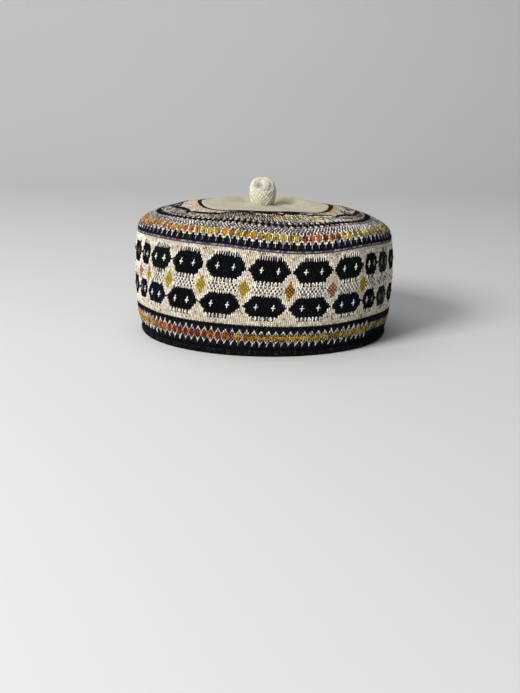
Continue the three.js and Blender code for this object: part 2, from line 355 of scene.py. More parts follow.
class WidestLine:
    """Distances round the cap along its widest line, from the left ear towards the nape."""

    def __init__(self, form: CapForm, steps: int = 7200) -> None:
        """Walks once round the widest line in small steps."""
        self.angles = np.linspace(0.0, 2.0 * np.pi, steps + 1)
        flat = np.stack(
            [form.half_breadth * np.cos(self.angles), form.half_length * np.sin(self.angles)], axis=1
        )
        gaps = np.linalg.norm(np.diff(flat, axis=0), axis=1)
        self.walked = np.concatenate([[0.0], np.cumsum(gaps)])
        self.length = float(self.walked[-1])

    def angle(self, distance: Array) -> Array:
        """The angle round the cap, in radians, at these distances."""
        return np.interp(np.asarray(distance) % self.length, self.walked, self.angles)


class Stitch(Enum):
    """Shapes of a stitch: how many sides its section has, and where along it the sections stand."""

    PLAIN = (3, (-0.3, 0.3))
    ROUND = (5, (-0.38, 0.0, 0.38))

    def mesh(self) -> bpy.types.Mesh:
        """A closed spindle, 1 long along Y, 1 wide along X and 1 high along Z, with most of it above 0."""
        sides, stations = self.value
        form = bmesh.new()
        rings = []
        for station in stations:
            swell = math.sqrt(1.0 - (1.5 * station) ** 2) if sides > 3 else 1.0
            ring = []
            for k in range(sides):
                angle = math.pi / 2.0 + 2.0 * math.pi * k / sides
                place = (0.5 * swell * math.cos(angle), station, 0.5 * swell * math.sin(angle) + 0.12)
                ring.append(form.verts.new(place))
            rings.append(ring)
        ends = [form.verts.new((0.0, -0.5, 0.0)), form.verts.new((0.0, 0.5, 0.0))]
        for k in range(sides):
            after = (k + 1) % sides
            form.faces.new((ends[0], rings[0][k], rings[0][after]))
            form.faces.new((ends[1], rings[-1][after], rings[-1][k]))
            for low, high in zip(rings, rings[1:]):
                form.faces.new((low[k], high[k], high[after], low[after]))
        bmesh.ops.recalc_face_normals(form, faces=form.faces)
        bmesh.ops.triangulate(form, faces=form.faces)
        mesh = bpy.data.meshes.new(f"stitch_{self.name.lower()}")
        form.to_mesh(mesh)
        form.free()
        mesh.shade_smooth()
        return mesh


def stitch_tree() -> bpy.types.NodeTree:
    """The tree that sews a stitch at each point of a mesh.

    Returns:
        A tree whose points carry the attributes along, normal and size, and whose inputs are a stitch to repeat,
        a finish, a seed, and how much the sizes, the turns and the shades vary.
    """
    tree = bpy.data.node_groups.new("stitches_on_points", "GeometryNodeTree")
    sockets = tree.interface
    sockets.new_socket("Points", in_out="INPUT", socket_type="NodeSocketGeometry")
    sockets.new_socket("Stitch", in_out="INPUT", socket_type="NodeSocketObject")
    sockets.new_socket("Finish", in_out="INPUT", socket_type="NodeSocketMaterial")
    sockets.new_socket("Seed", in_out="INPUT", socket_type="NodeSocketInt")
    for name in ("Size Variation", "Turn Variation", "Shade Variation"):
        sockets.new_socket(name, in_out="INPUT", socket_type="NodeSocketFloat")
    sockets.new_socket("Stitches", in_out="OUTPUT", socket_type="NodeSocketGeometry")
    nodes, links = tree.nodes, tree.links
    entry = nodes.new("NodeGroupInput")
    leave = nodes.new("NodeGroupOutput")

    def attribute(name: str) -> bpy.types.NodeSocket:
        """A direction or size that the points carry."""
        node = nodes.new("GeometryNodeInputNamedAttribute")
        node.data_type = "FLOAT_VECTOR"
        node.inputs["Name"].default_value = name
        return node.outputs["Attribute"]

    def spread(kind: str, source: str, shift: int, around: float) -> bpy.types.NodeSocket:
        """A seeded random value between around minus and around plus a variation."""
        node = nodes.new("FunctionNodeRandomValue")
        node.data_type = kind
        seed = nodes.new("FunctionNodeIntegerMath")
        seed.inputs[1].default_value = shift
        links.new(entry.outputs["Seed"], seed.inputs[0])
        links.new(seed.outputs[0], node.inputs["Seed"])
        for end, sign in ((0, "SUBTRACT"), (1, "ADD")):
            part = nodes.new("ShaderNodeMath")
            part.operation = sign
            part.inputs[0].default_value = around
            links.new(entry.outputs[source], part.inputs[1])
            usable = [socket for socket in node.inputs if socket.enabled and socket.name in ("Min", "Max")]
            links.new(part.outputs[0], usable[end])
        return next(socket for socket in node.outputs if socket.enabled)

    turn = nodes.new("FunctionNodeAxesToRotation")
    turn.primary_axis = "Z"
    turn.secondary_axis = "Y"
    links.new(attribute("normal"), turn.inputs[0])
    links.new(attribute("along"), turn.inputs[1])
    sized = nodes.new("ShaderNodeVectorMath")
    sized.operation = "MULTIPLY"
    links.new(attribute("size"), sized.inputs[0])
    links.new(spread("FLOAT_VECTOR", "Size Variation", 1, 1.0), sized.inputs[1])
    shape = nodes.new("GeometryNodeObjectInfo")
    links.new(entry.outputs["Stitch"], shape.inputs["Object"])
    place = nodes.new("GeometryNodeInstanceOnPoints")
    links.new(entry.outputs["Points"], place.inputs["Points"])
    links.new(shape.outputs["Geometry"], place.inputs["Instance"])
    links.new(turn.outputs[0], place.inputs["Rotation"])
    links.new(sized.outputs[0], place.inputs["Scale"])
    skew = nodes.new("GeometryNodeRotateInstances")
    links.new(place.outputs["Instances"], skew.inputs["Instances"])
    links.new(spread("FLOAT_VECTOR", "Turn Variation", 2, 0.0), skew.inputs["Rotation"])
    shade = nodes.new("GeometryNodeStoreNamedAttribute")
    shade.data_type = "FLOAT"
    shade.domain = "INSTANCE"
    shade.inputs["Name"].default_value = "shade"
    links.new(skew.outputs["Instances"], shade.inputs["Geometry"])
    values = [socket for socket in shade.inputs if socket.enabled and socket.name == "Value"]
    links.new(spread("FLOAT", "Shade Variation", 3, 1.0), values[0])
    real = nodes.new("GeometryNodeRealizeInstances")
    links.new(shade.outputs["Geometry"], real.inputs["Geometry"])
    finish = nodes.new("GeometryNodeSetMaterial")
    links.new(real.outputs["Geometry"], finish.inputs["Geometry"])
    links.new(entry.outputs["Finish"], finish.inputs["Material"])
    links.new(finish.outputs["Geometry"], leave.inputs["Stitches"])
    return tree


@dataclass
class Stitchwork:
    """Stitches that are sewn into one piece."""

    name: str
    shape: Stitch = Stitch.PLAIN
    size_variation: float = 0.1
    turn_variation: float = 0.07
    shade_variation: float = 0.16
    seed: int = SEED
    starts: list[Array] = field(default_factory=list)
    ends: list[Array] = field(default_factory=list)
    normals: list[Array] = field(default_factory=list)
    sections: list[Array] = field(default_factory=list)
    colours: list[Array] = field(default_factory=list)

    def lay(self, starts: Array, ends: Array, normals: Array, width: Array, height: Array, colour: Array) -> None:
        """Adds stitches.

        Args:
            starts: Where each stitch starts, in millimetres.
            ends: Where each ends.
            normals: The directions out of the cloth.
            width: How wide each is.
            height: How high each stands.
            colour: Linear red, green and blue, for all or for each.
        """
        count = len(starts)
        self.starts.append(starts)
        self.ends.append(ends)
        self.normals.append(normals)
        self.sections.append(np.stack([np.broadcast_to(width, count), np.broadcast_to(height, count)], axis=1))
        self.colours.append(np.broadcast_to(np.asarray(colour, dtype=float), (count, 3)))

    def sew(self, tree: bpy.types.NodeTree, finish: bpy.types.Material) -> bpy.types.Object:
        """Turns the stitches into a plain mesh.

        Args:
            tree: The tree of stitch_tree.
            finish: The thread's material.

        Returns:
            The piece.
        """
        starts, ends = np.concatenate(self.starts) * MM, np.concatenate(self.ends) * MM
        along = ends - starts
        lengths = np.linalg.norm(along, axis=1)
        section = np.concatenate(self.sections) * MM
        sizes = np.stack([section[:, 0], lengths, section[:, 1]], axis=1)
        points = bpy.data.meshes.new(f"{self.name}_points")
        points.from_pydata(((starts + ends) / 2.0).tolist(), [], [])
        vectors = {"along": along / lengths[:, None], "normal": np.concatenate(self.normals), "size": sizes}
        for name, values in vectors.items():
            points.attributes.new(name, "FLOAT_VECTOR", "POINT").data.foreach_set("vector", values.ravel())
        colour = np.concatenate([np.concatenate(self.colours), np.ones((len(starts), 1))], axis=1)
        points.attributes.new("thread", "FLOAT_COLOR", "POINT").data.foreach_set("color", colour.ravel())
        guide = bpy.data.objects.new(f"{self.name}_points", points)
        stitch = bpy.data.objects.new(f"{self.name}_stitch", self.shape.mesh())
        for helper in (guide, stitch):
            bpy.context.scene.collection.objects.link(helper)
        modifier = guide.modifiers.new("stitches", "NODES")
        modifier.node_group = tree
        settings = {
            "Stitch": stitch,
            "Finish": finish,
            "Seed": self.seed,
            "Size Variation": self.size_variation,
            "Turn Variation": self.turn_variation,
            "Shade Variation": self.shade_variation,
        }
        for socket in tree.interface.items_tree:
            if socket.name in settings:
                modifier[socket.identifier] = settings[socket.name]
        graph = bpy.context.evaluated_depsgraph_get()
        sewn = guide.evaluated_get(graph)
        mesh = bpy.data.meshes.new_from_object(sewn, preserve_all_data_layers=True, depsgraph=graph)
        for name in ("along", "normal", "size"):
            if name in mesh.attributes:
                mesh.attributes.remove(mesh.attributes[name])
        mesh.shade_smooth()
        for helper in (guide, stitch):
            data = helper.data
            bpy.data.objects.remove(helper)
            bpy.data.meshes.remove(data)
        return add_piece(self.name, mesh)


def add_piece(name: str, mesh: bpy.types.Mesh) -> bpy.types.Object:
    """Puts a finished mesh into the scene as a piece of the cap.

    Args:
        name: The piece's name.
        mesh: Its mesh, in metres and in place.

    Returns:
        The piece, which rides on the cap's only body.
    """
    mesh.name = name
    piece = bpy.data.objects.new(name, mesh)
    bpy.context.scene.collection.objects.link(piece)
    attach(piece, "root")
    LOG.info("%s: %d triangles", name, sum(len(face.vertices) - 2 for face in mesh.polygons))
    return piece


def mesh_of(name: str, points: Array, faces: Array | list, slots: Array | None = None) -> bpy.types.Mesh:
    """A smooth mesh.

    Args:
        name: Its name.
        points: Its points in millimetres.
        faces: Four point numbers for each face, or three.
        slots: The material slot of each face.

    Returns:
        The mesh, in metres.
    """
    mesh = bpy.data.meshes.new(name)
    rows = faces.tolist() if isinstance(faces, np.ndarray) else faces
    mesh.from_pydata((np.asarray(points) * MM).tolist(), [], rows)
    if slots is not None:
        mesh.polygons.foreach_set("material_index", np.asarray(slots, dtype=np.int32))
    mesh.shade_smooth()
    mesh.update()
    return mesh


def tube_faces(rows: int, around: int) -> Array:
    """Faces of a tube whose rows of points join in turn, the last to the first.

    Args:
        rows: How many rows.
        around: How many points each row has.

    Returns:
        The faces, whose outside is on the left of a row that is walked with the next row ahead.
    """
    low = np.arange(rows)[:, None] * around
    high = ((np.arange(rows) + 1) % rows)[:, None] * around
    here = np.arange(around)[None, :]
    after = (here + 1) % around
    return np.stack([low + here, low + after, high + after, high + here], axis=-1).reshape(-1, 4)


def capped_tube(name: str, rows: list[Array]) -> bpy.types.Mesh:
    """A closed mesh of rings of points in turn, with a fan of faces over the first and over the last."""
    around = len(rows[0])
    points = np.concatenate([*rows, [rows[0].mean(axis=0), rows[-1].mean(axis=0)]])
    here = np.arange(around)
    after = (here + 1) % around
    last = (len(rows) - 1) * around
    low_fan = np.stack([np.full(around, len(points) - 2), after, here], axis=1)
    high_fan = np.stack([np.full(around, len(points) - 1), last + here, last + after], axis=1)
    faces = tube_faces(len(rows), around)[:-around]
    return mesh_of(name, points, [*faces.tolist(), *low_fan.tolist(), *high_fan.tolist()])


def colour_points(mesh: bpy.types.Mesh, colours: Array) -> None:
    """Stores a thread colour on each point of a mesh."""
    rows = np.concatenate([colours, np.ones((len(colours), 1))], axis=1)
    mesh.attributes.new("thread", "FLOAT_COLOR", "POINT").data.foreach_set("color", rows.ravel())
    mesh.attributes.new("shade", "FLOAT", "POINT").data.foreach_set("value", np.ones(len(colours)))


class Finish:
    """A material in the making, with shorthand for its nodes."""

    def __init__(self, name: str) -> None:
        """Starts a material with one shader."""
        self.material = bpy.data.materials.new(name)
        self.material.use_nodes = True
        self.nodes = self.material.node_tree.nodes
        self.links = self.material.node_tree.links
        self.shader = next(node for node in self.nodes if node.type == "BSDF_PRINCIPLED")
        self.place = self.nodes.new("ShaderNodeTexCoord").outputs["Object"]

    def set(self, **values: float) -> None:
        """Sets constants on the shader's own sockets, with underscores for the spaces in their names."""
        for name, value in values.items():
            self.shader.inputs[name.replace("_", " ")].default_value = value

    def noise(self, scale: float, detail: float = 3.0, stretch: Triple = (1, 1, 1)) -> object:
        """Noise over the piece.

        Args:
            scale: Lumps for each metre.
            detail: How fine it goes.
            stretch: How much more often it changes along each axis.

        Returns:
            The socket that holds it.
        """
        mapping = self.nodes.new("ShaderNodeMapping")
        mapping.inputs["Scale"].default_value = stretch
        self.links.new(self.place, mapping.inputs["Vector"])
        node = self.nodes.new("ShaderNodeTexNoise")
        node.inputs["Scale"].default_value = scale
        node.inputs["Detail"].default_value = detail
        self.links.new(mapping.outputs["Vector"], node.inputs["Vector"])
        return node.outputs["Fac"]

    def ranged(self, source: object, low: float, high: float, start: float = 0.3, stop: float = 0.7) -> object:
        """A value moved from one range to another, and held at the ends."""
        node = self.nodes.new("ShaderNodeMapRange")
        for name, value in (("From Min", start), ("From Max", stop), ("To Min", low), ("To Max", high)):
            node.inputs[name].default_value = value
        self.links.new(source, node.inputs["Value"])
        return node.outputs["Result"]

    def math(self, operation: str, first: object, second: object) -> object:
        """A sum of two sockets or numbers."""
        node = self.nodes.new("ShaderNodeMath")
        node.operation = operation
        for slot, value in enumerate((first, second)):
            if isinstance(value, (int, float)):
                node.inputs[slot].default_value = value
            else:
                self.links.new(value, node.inputs[slot])
        return node.outputs[0]

    def attribute(self, name: str, output: str) -> object:
        """A value that the piece's points carry."""
        node = self.nodes.new("ShaderNodeAttribute")
        node.attribute_name = name
        return node.outputs[output]

    def mixed(self, share: object, first: object, second: object) -> object:
        """Two colours mixed by a share; each is a socket or linear red, green and blue."""
        node = self.nodes.new("ShaderNodeMix")
        node.data_type = "RGBA"
        sockets = [socket for socket in node.inputs if socket.enabled]
        for socket, value in zip(sockets, (share, first, second)):
            if isinstance(value, (int, float)):
                socket.default_value = value
            elif isinstance(value, tuple):
                socket.default_value = (*value, 1.0)
            else:
                self.links.new(value, socket)
        return next(socket for socket in node.outputs if socket.enabled)

    def scaled(self, colour: object, factor: object) -> object:
        """A colour made lighter or darker by a factor."""
        node = self.nodes.new("ShaderNodeVectorMath")
        node.operation = "SCALE"
        if isinstance(colour, tuple):
            node.inputs[0].default_value = colour
        else:
            self.links.new(colour, node.inputs[0])
        self.links.new(factor, node.inputs["Scale"])
        return node.outputs[0]

    def use(self, colour: object, height: object, strength: float, depth: float) -> bpy.types.Material:
        """Links the colour and a bump to the shader.

        Args:
            colour: The base colour's socket.
            height: The bump's height.
            strength: The bump's strength.
            depth: The bump's depth in millimetres.

        Returns:
            The material.
        """
        self.links.new(colour, self.shader.inputs["Base Color"])
        node = self.nodes.new("ShaderNodeBump")
        node.inputs["Strength"].default_value = strength
        node.inputs["Distance"].default_value = depth * MM
        self.links.new(height, node.inputs["Height"])
        self.links.new(node.outputs["Normal"], self.shader.inputs["Normal"])
        return self.material


@dataclass(frozen=True)
class ThreadFinish:
    """Cotton thread whose colour the stitches carry."""

    name: str = "cotton_thread"
    roughness: float = 0.72
    sheen: float = 0.0
    specular: float = 0.05
    fibre: float = 2400.0

    def material(self) -> bpy.types.Material:
        """Its material."""
        finish = Finish(self.name)
        finish.set(Roughness=self.roughness, Sheen_Weight=self.sheen, Specular_IOR_Level=self.specular)
        worn = finish.ranged(finish.noise(70.0, 4.0), 0.86, 1.1)
        fuzz = finish.ranged(finish.noise(self.fibre, 2.0), 0.8, 1.16)
        factor = finish.math("MULTIPLY", finish.attribute("shade", "Fac"), finish.math("MULTIPLY", worn, fuzz))
        colour = finish.scaled(finish.attribute("thread", "Color"), factor)
        return finish.use(colour, finish.noise(self.fibre, 2.0), 0.5, 0.18)


@dataclass(frozen=True)
class ClothFinish:
    """Plain woven cotton."""

    name: str
    colour: Triple
    tint: Triple
    threads: float = 1900.0
    roughness: float = 0.88
    sheen: float = 0.2
    weave_depth: float = 0.12
    shaded: bool = False
    specks: tuple[tuple[float, float, float, float], ...] = ()
    speck_colour: Triple = (0.10, 0.075, 0.045)

    def material(self) -> bpy.types.Material:
        """Its material."""
        finish = Finish(self.name)
        finish.set(Roughness=self.roughness, Sheen_Weight=self.sheen, Specular_IOR_Level=0.25)
        warp = finish.noise(self.threads, 1.0, (1.0, 0.12, 0.12))
        weft = finish.noise(self.threads, 1.0, (0.12, 1.0, 0.12))
        weave = finish.math("MAXIMUM", warp, weft)
        patch = finish.ranged(finish.noise(38.0, 5.0), 0.0, 1.0)
        colour = finish.mixed(patch, self.colour, self.tint)
        threads = finish.ranged(weave, 0.84, 1.07, 0.35, 0.7)
        weave_and_crease_shade = finish.math("MULTIPLY", threads, finish.ranged(finish.noise(420.0, 4.0), 0.86, 1.08))
        # On the knob, the shade attribute is painted shade in its creases and hollows.
        if self.shaded:
            weave_and_crease_shade = finish.math("MULTIPLY", weave_and_crease_shade, finish.attribute("shade", "Fac"))
        colour = finish.scaled(colour, weave_and_crease_shade)
        for x, y, z, size in self.specks:
            share = self._speck(finish, (x * MM, y * MM, z * MM), size * MM)
            colour = finish.mixed(share, colour, self.speck_colour)
        height = finish.math("ADD", weave, finish.math("MULTIPLY", finish.noise(150.0, 3.0), 1.6))
        return finish.use(colour, height, 0.8, self.weave_depth)

    @staticmethod
    def _speck(finish: Finish, middle: Triple, size: float) -> object:
        """A soft round speck: 1 in its middle and 0 outside."""
        node = finish.nodes.new("ShaderNodeVectorMath")
        node.operation = "DISTANCE"
        finish.links.new(finish.place, node.inputs[0])
        node.inputs[1].default_value = middle
        return finish.ranged(node.outputs["Value"], 0.85, 0.0, 0.4 * size, size)


@dataclass
class Materials:
    """The finishes that the pieces share."""

    thread: bpy.types.Material
    lining: bpy.types.Material
    panel: bpy.types.Material
    knob: bpy.types.Material

    @classmethod
    def made(cls) -> "Materials":
        """All of them, made once."""
        return cls(
            thread=ThreadFinish().material(),
            lining=ClothFinish("plain_lining", (0.66, 0.61, 0.50), (0.60, 0.56, 0.47)).material(),
            panel=ClothFinish(
                "cream_panel",
                (0.42, 0.39, 0.28),
                (0.48, 0.43, 0.325),
                sheen=0.05,
                specks=(
                    (8.0, 30.0, 99.6, 1.3), (2.0, 36.5, 99.4, 1.5),
                    (6.0, -38.5, 100.6, 1.1), (-20.0, 12.0, 100.8, 0.8),
                ),
            ).material(),
            knob=ClothFinish(
                "knob_cotton", (0.62, 0.585, 0.475), (0.53, 0.51, 0.41), sheen=0.05, weave_depth=0.18, shaded=True
            ).material(),
        )


@dataclass(frozen=True)
class Spot:
    """A stain: where it is round the cap and up the cloth, how wide it is, and how deep its colour is."""

    column: float
    height: float
    radius: float
    depth: float


@dataclass(frozen=True)
class Run:
    """A stretch round the cap in which a motif has one thread: it ends here, in shares of the way round."""

    ends: float
    threads: tuple[Thread, ...]


@dataclass
class Shop:
    """What every embroidered piece works with."""

    form: CapForm
    widest: WidestLine
    band: SurfacePatch
    crown: SurfacePatch
    tree: bpy.types.NodeTree
    materials: Materials
    random: np.random.Generator

    def pick(self, threads: tuple[Thread, ...], count: int, weights: tuple[float, ...] | None = None) -> Array:
        """Colours for so many stitches, from threads of which each comes as often as its weight says."""
        chosen = self.random.choice(len(threads), size=count, p=weights)
        return np.array([thread.value for thread in threads])[chosen]

    def run_colours(self, runs: tuple[Run, ...], distance: Array) -> Array:
        """Colours of motifs by where they stand round the cap, from the front past the left ear.

        Args:
            runs: The runs in order, of which the last ends at 1.
            distance: Where each motif stands on the widest line.

        Returns:
            A row of red, green and blue for each.
        """
        share = (np.asarray(distance) / self.widest.length + 0.25) % 1.0
        index = np.searchsorted([run.ends for run in runs], share)
        colours = np.empty((len(share), 3))
        for k, run in enumerate(runs):
            inside = np.minimum(index, len(runs) - 1) == k
            colours[inside] = self.pick(run.threads, int(inside.sum()))
        return colours


BLACKS = (BLACK, BLUE_BLACK, GREEN_BLACK)
ALL_BLACKS = (*BLACKS, PURPLE_BLACK)
PALES = (WHITE, CREAM, PALE_BLUE, LAVENDER)
GROUNDS = (BEIGE, PINK_BEIGE, CREAM, OLIVE_BEIGE, GREY)
GROUND_WEIGHTS = (0.34, 0.2, 0.31, 0.1, 0.05)


@dataclass
class Embroidery:
    """What the embroidered pieces share.

    A place in a pattern is a column, in millimetres round the cap, and a height, in millimetres up the cloth.
    """

    shop: Shop

    def stitch(
        self, work: Stitchwork, start: tuple, end: tuple, width: float, height: float, colour: Array
    ) -> None:
        """Lays stitches between places in the pattern.

        Args:
            work: The stitches to add to.
            start: The columns and heights where they start.
            end: The columns and heights where they end.
            width: How wide they are.
            height: How high they stand.
            colour: Linear red, green and blue, for all or for each.
        """
        raise NotImplementedError

    def upright(
        self, work: Stitchwork, column: Array, low: Array, high: Array, width: float, height: float, colour: Array
    ) -> None:
        """Lays stitches that run straight up the pattern."""
        self.stitch(work, (column, low), (column, high), width, height, colour)

    def pick(self, threads: tuple[Thread, ...], count: int, weights: tuple[float, ...] | None = None) -> Array:
        """Colours for some stitches, as the shop picks them."""
        return self.shop.pick(threads, count, weights)

    def turn(self, column: Array) -> Array:
        """The angle of places round the cap in degrees, from -180 to 180."""
        return (np.degrees(self.shop.widest.angle(column)) + 180.0) % 360.0 - 180.0

    def wall(self, name: str, rows: list[Array], colours: list[Array], outer_rows: int) -> bpy.types.Mesh:
        """A closed cloth wall of rows of points, embroidered on its outer rows and plain on the others."""
        around = len(rows[0])
        slots = np.repeat(np.arange(len(rows)) >= outer_rows - 1, around).astype(int)
        mesh = mesh_of(name, np.concatenate(rows), tube_faces(len(rows), around), slots)
        colour_points(mesh, np.concatenate(colours))
        mesh.materials.append(self.shop.materials.thread)
        mesh.materials.append(self.shop.materials.lining)
        return mesh


@dataclass
class SideBand(Embroidery):
    """The upright band: a cloth wall under hand embroidery.

    Heights are millimetres up the cloth over the left ear, and follow the cloth's length elsewhere.
    """

    motifs: int = 107
    columns_each: int = 4
    row_pitch: float = 1.39
    usual_length: float = 75.1
    line_low: float = 15.6
    line_high: float = 19.3
    lozenge_middle: float = 10.0
    border_motifs: int = 115
    middle: float = 46.3
    upper_row: float = 61.2
    lower_row: float = 33.7
    upper_half_height: float = 10.2
    lower_half_height: float = 9.0
    hexagon_share: float = 0.465
    tooth: float = 1.1
    diamond_half_width: float = 4.1
    diamond_half_height: float = 7.4
    eyelet_rows: float = 2.0
    eyelet_pitch: float = 2.9
    teeth: int = 318
    patch_start: float = 90.0
    patch_end: float = 140.0
    tan_middle: float = -82.0
    tan_reach: float = 17.0
    outer_rows: int = 38
    inner_rows: int = 9
    stains: tuple[Spot, ...] = listed(
        Spot,
        (-0.8, 73.2, 1.5, 0.9), (36.0, 46.5, 0.9, 0.8), (61.0, 24.0, 1.2, 0.4), (-96.0, 27.0, 1.6, 0.35),
        (204.0, 66.0, 1.3, 0.5), (-210.0, 40.0, 1.5, 0.4),
    )
    hexagon_gaps: tuple[float, ...] = (
        -155.2, -139.0, -117.0, -101.0, -75.6, -46.8, -14.2, 18.5, 51.2, 80.1, 96.4, 113.8, 139.0,
    )
    far_hexagons: int = 10
    tinted: tuple[tuple[int, bool, Thread], ...] = (
        (8, False, BLUE_BLACK), (8, True, GREEN_BLACK), (3, True, GREEN_BLACK), (3, False, BLUE_BLACK),
        (15, True, BLUE_BLACK), (19, False, GREEN_BLACK), (10, True, MOSS_GREY), (10, False, MOSS_GREY),
    )
    plain_gaps: tuple[int, ...] = (10, 11)
    diamond_threads: tuple[tuple[Thread, Thread], ...] = (
        (BRICK, DUSK), (ORANGE, BROWN), (BRICK, PEACH), (GOLD, OLIVE), (YELLOW, OLIVE), (YELLOW, OLIVE),
        (YELLOW, OLIVE), (GOLD, BROWN), (PEACH, BROWN), (OLIVE, YELLOW),
    )
    core_runs: tuple[Run, ...] = listed(
        Run,
        (0.06, (PEACH, ORANGE)), (0.11, (ORANGE, GOLD)), (0.215, (BRICK, BRICK, ORANGE)),
        (0.26, (GOLD, ORANGE)), (0.33, (GOLD, YELLOW)), (0.395, (YELLOW, YELLOW, OLIVE)),
        (0.47, (OLIVE, YELLOW)), (0.56, (BRICK, ORANGE)), (0.66, (YELLOW, GOLD)), (0.75, (ORANGE, GOLD)),
        (0.88, (GOLD, YELLOW)), (1.0, (BRICK, ORANGE)),
    )

    def __post_init__(self) -> None:
        """Adds the far side's hexagons and counts the columns."""
        length = self.shop.widest.length
        last, first = self.hexagon_gaps[-1], self.hexagon_gaps[0] + length
        far = np.linspace(last, first, self.far_hexagons + 1)[1:]
        self.gaps = np.array([*self.hexagon_gaps, *far])
        self.columns = self.motifs * self.columns_each
        self.pitch = length / self.columns

    def shear(self, column: Array) -> Array:
        """How far a column leans towards the nape for each millimetre up, at these places round the cap."""
        return 0.13 - 0.13 * np.sin(np.asarray(column) / self.shop.widest.length * 2.0 * np.pi)

    def place(self, column: Array, height: Array) -> tuple[Array, Array]:
        """Points and outward directions for places in the pattern.

        Args:
            column: Millimetres round the cap at the pattern's middle height.
            height: Millimetres up the cloth.

        Returns:
            The points and the directions.
        """
        column, height = np.broadcast_arrays(np.asarray(column, dtype=float), np.asarray(height, dtype=float))
        round_way = column + self.shear(column) * (height - self.middle)
        angle = self.shop.widest.angle(round_way)
        return self.shop.band.at(angle, height / self.usual_length * self.shop.band.length(angle))

    def stitch(
        self, work: Stitchwork, start: tuple, end: tuple, width: float, height: float, colour: Array
    ) -> None:
        """Lays stitches between two places in the pattern, each given as columns and heights."""
        low, normal = self.place(*start)
        high, _ = self.place(*end)
        lift = normal * (0.25 * height)
        work.lay(low + lift, high + lift, normal, width, height, colour)

    def wrapped(self, column: Array) -> Array:
        """Places round the cap, counted on from the first gap between hexagons."""
        return (column - self.gaps[0]) % self.shop.widest.length + self.gaps[0]

    def hexagon(self, column: Array) -> tuple[Array, Array, Array]:
        """Places counted from the first gap, the hexagon at each, and how far off its middle each is."""
        wrapped = self.wrapped(column)
        k = np.clip(np.searchsorted(self.gaps, wrapped) - 1, 0, len(self.gaps) - 2)
        return wrapped, k, np.abs(wrapped - (self.gaps[k] + self.gaps[k + 1]) / 2.0)

    def chart(self, column: Array, height: Array, odd: Array) -> tuple[Array, Array]:
        """The field's pattern.

        Args:
            column: Millimetres round the cap at the pattern's middle height.
            height: Millimetres up the cloth.
            odd: Whether the stitch stands in an odd column.

        Returns:
            The colours and the shares of the usual width.
        """
        count = len(column)
        wrapped, k, across = self.hexagon(column)
        left, right = self.gaps[k], self.gaps[k + 1]
        half = self.hexagon_share * (right - left)
        colours = self.pick(GROUNDS, count, GROUND_WEIGHTS)
        width = np.ones(count)
        upper = height > self.middle
        rise = np.abs(height - np.where(upper, self.upper_row, self.lower_row))
        tall = np.where(upper, self.upper_half_height, self.lower_half_height)
        reach = tall + np.where(odd, -self.tooth, self.tooth)
        side = 1.05 * half * (1.0 - 0.48 * rise / tall)
        halo = (rise < reach + 2.4) & (across < side + 1.9)
        pales = (CREAM, WHITE, PINK_BEIGE)
        colours[halo] = self.pick(pales, int(halo.sum()), (0.4, 0.5, 0.1))
        black = (rise < reach) & (across < side)
        colours[black] = self.pick(BLACKS, int(black.sum()), (0.8, 0.12, 0.08))
        for number, rows, thread in self.tinted:
            tinted = black & (k == number) & (upper == rows) & (self.shop.random.random(count) < 0.6)
            colours[tinted] = thread.value
        between = (np.abs(height - self.middle) < 1.7 * self.eyelet_rows) & (across < 0.8 * half)
        pale = (WHITE, CREAM, PINK_BEIGE)
        colours[between] = self.pick(pale, int(between.sum()), (0.45, 0.35, 0.2))
        nearest = np.where(wrapped - left < right - wrapped, k, k + 1)
        from_gap = np.abs(wrapped - self.gaps[nearest])
        diamond = from_gap / self.diamond_half_width + np.abs(height - self.middle) / self.diamond_half_height
        ring = (diamond < 1.5) & (diamond >= 1.0)
        colours[ring] = self.pick(pales, int(ring.sum()))
        row = np.floor(height / self.row_pitch).astype(int)
        for i in np.flatnonzero((diamond < 1.0) & ~np.isin(nearest, self.plain_gaps)):
            bright, dark = self.diamond_threads[int(nearest[i]) % len(self.diamond_threads)]
            light = (row[i] + int(odd[i])) % 2 == 0
            colours[i] = bright.value if light else dark.value
            width[i] = 1.0 if light else 0.85
        return colours, width

    def in_diamond(self, column: Array, height: Array) -> Array:
        """Whether places in the field lie in the coloured diamonds."""
        from_gap = np.abs(self.wrapped(column)[:, None] - self.gaps[None, :]).min(axis=1)
        return from_gap / self.diamond_half_width + np.abs(height - self.middle) / self.diamond_half_height < 1.0

    def eyelet_work(self) -> Stitchwork:
        """Three rows of small dark eyelets with pale knots between them, between two hexagons."""
        work = Stitchwork("eyelet_stitches", Stitch.ROUND, 0.2, 0.14)
        darks = (BLACK, DUSK, BLUE_BLACK)
        for left, right in zip(self.gaps, self.gaps[1:]):
            half = 0.72 * self.hexagon_share * (right - left)
            for row in (-1, 0, 1):
                shift = 0.5 * self.eyelet_pitch if row else 0.0
                column = np.arange(-12, 13) * self.eyelet_pitch + shift
                column = column[np.abs(column) < half] + (left + right) / 2.0
                level = self.middle + row * self.eyelet_rows
                dark = self.pick(darks, len(column), (0.6, 0.25, 0.15))
                self.stitch(work, (column, level - 0.8), (column + 0.1, level + 0.8), 0.95, 1.0, dark)
                pale = self.pick(PALES, len(column), (0.6, 0.34, 0.03, 0.03))
                beside = column + 0.5 * self.eyelet_pitch
                self.stitch(work, (beside - 0.1, level - 0.95), (beside + 0.1, level + 0.95), 1.25, 1.15, pale)
        return work

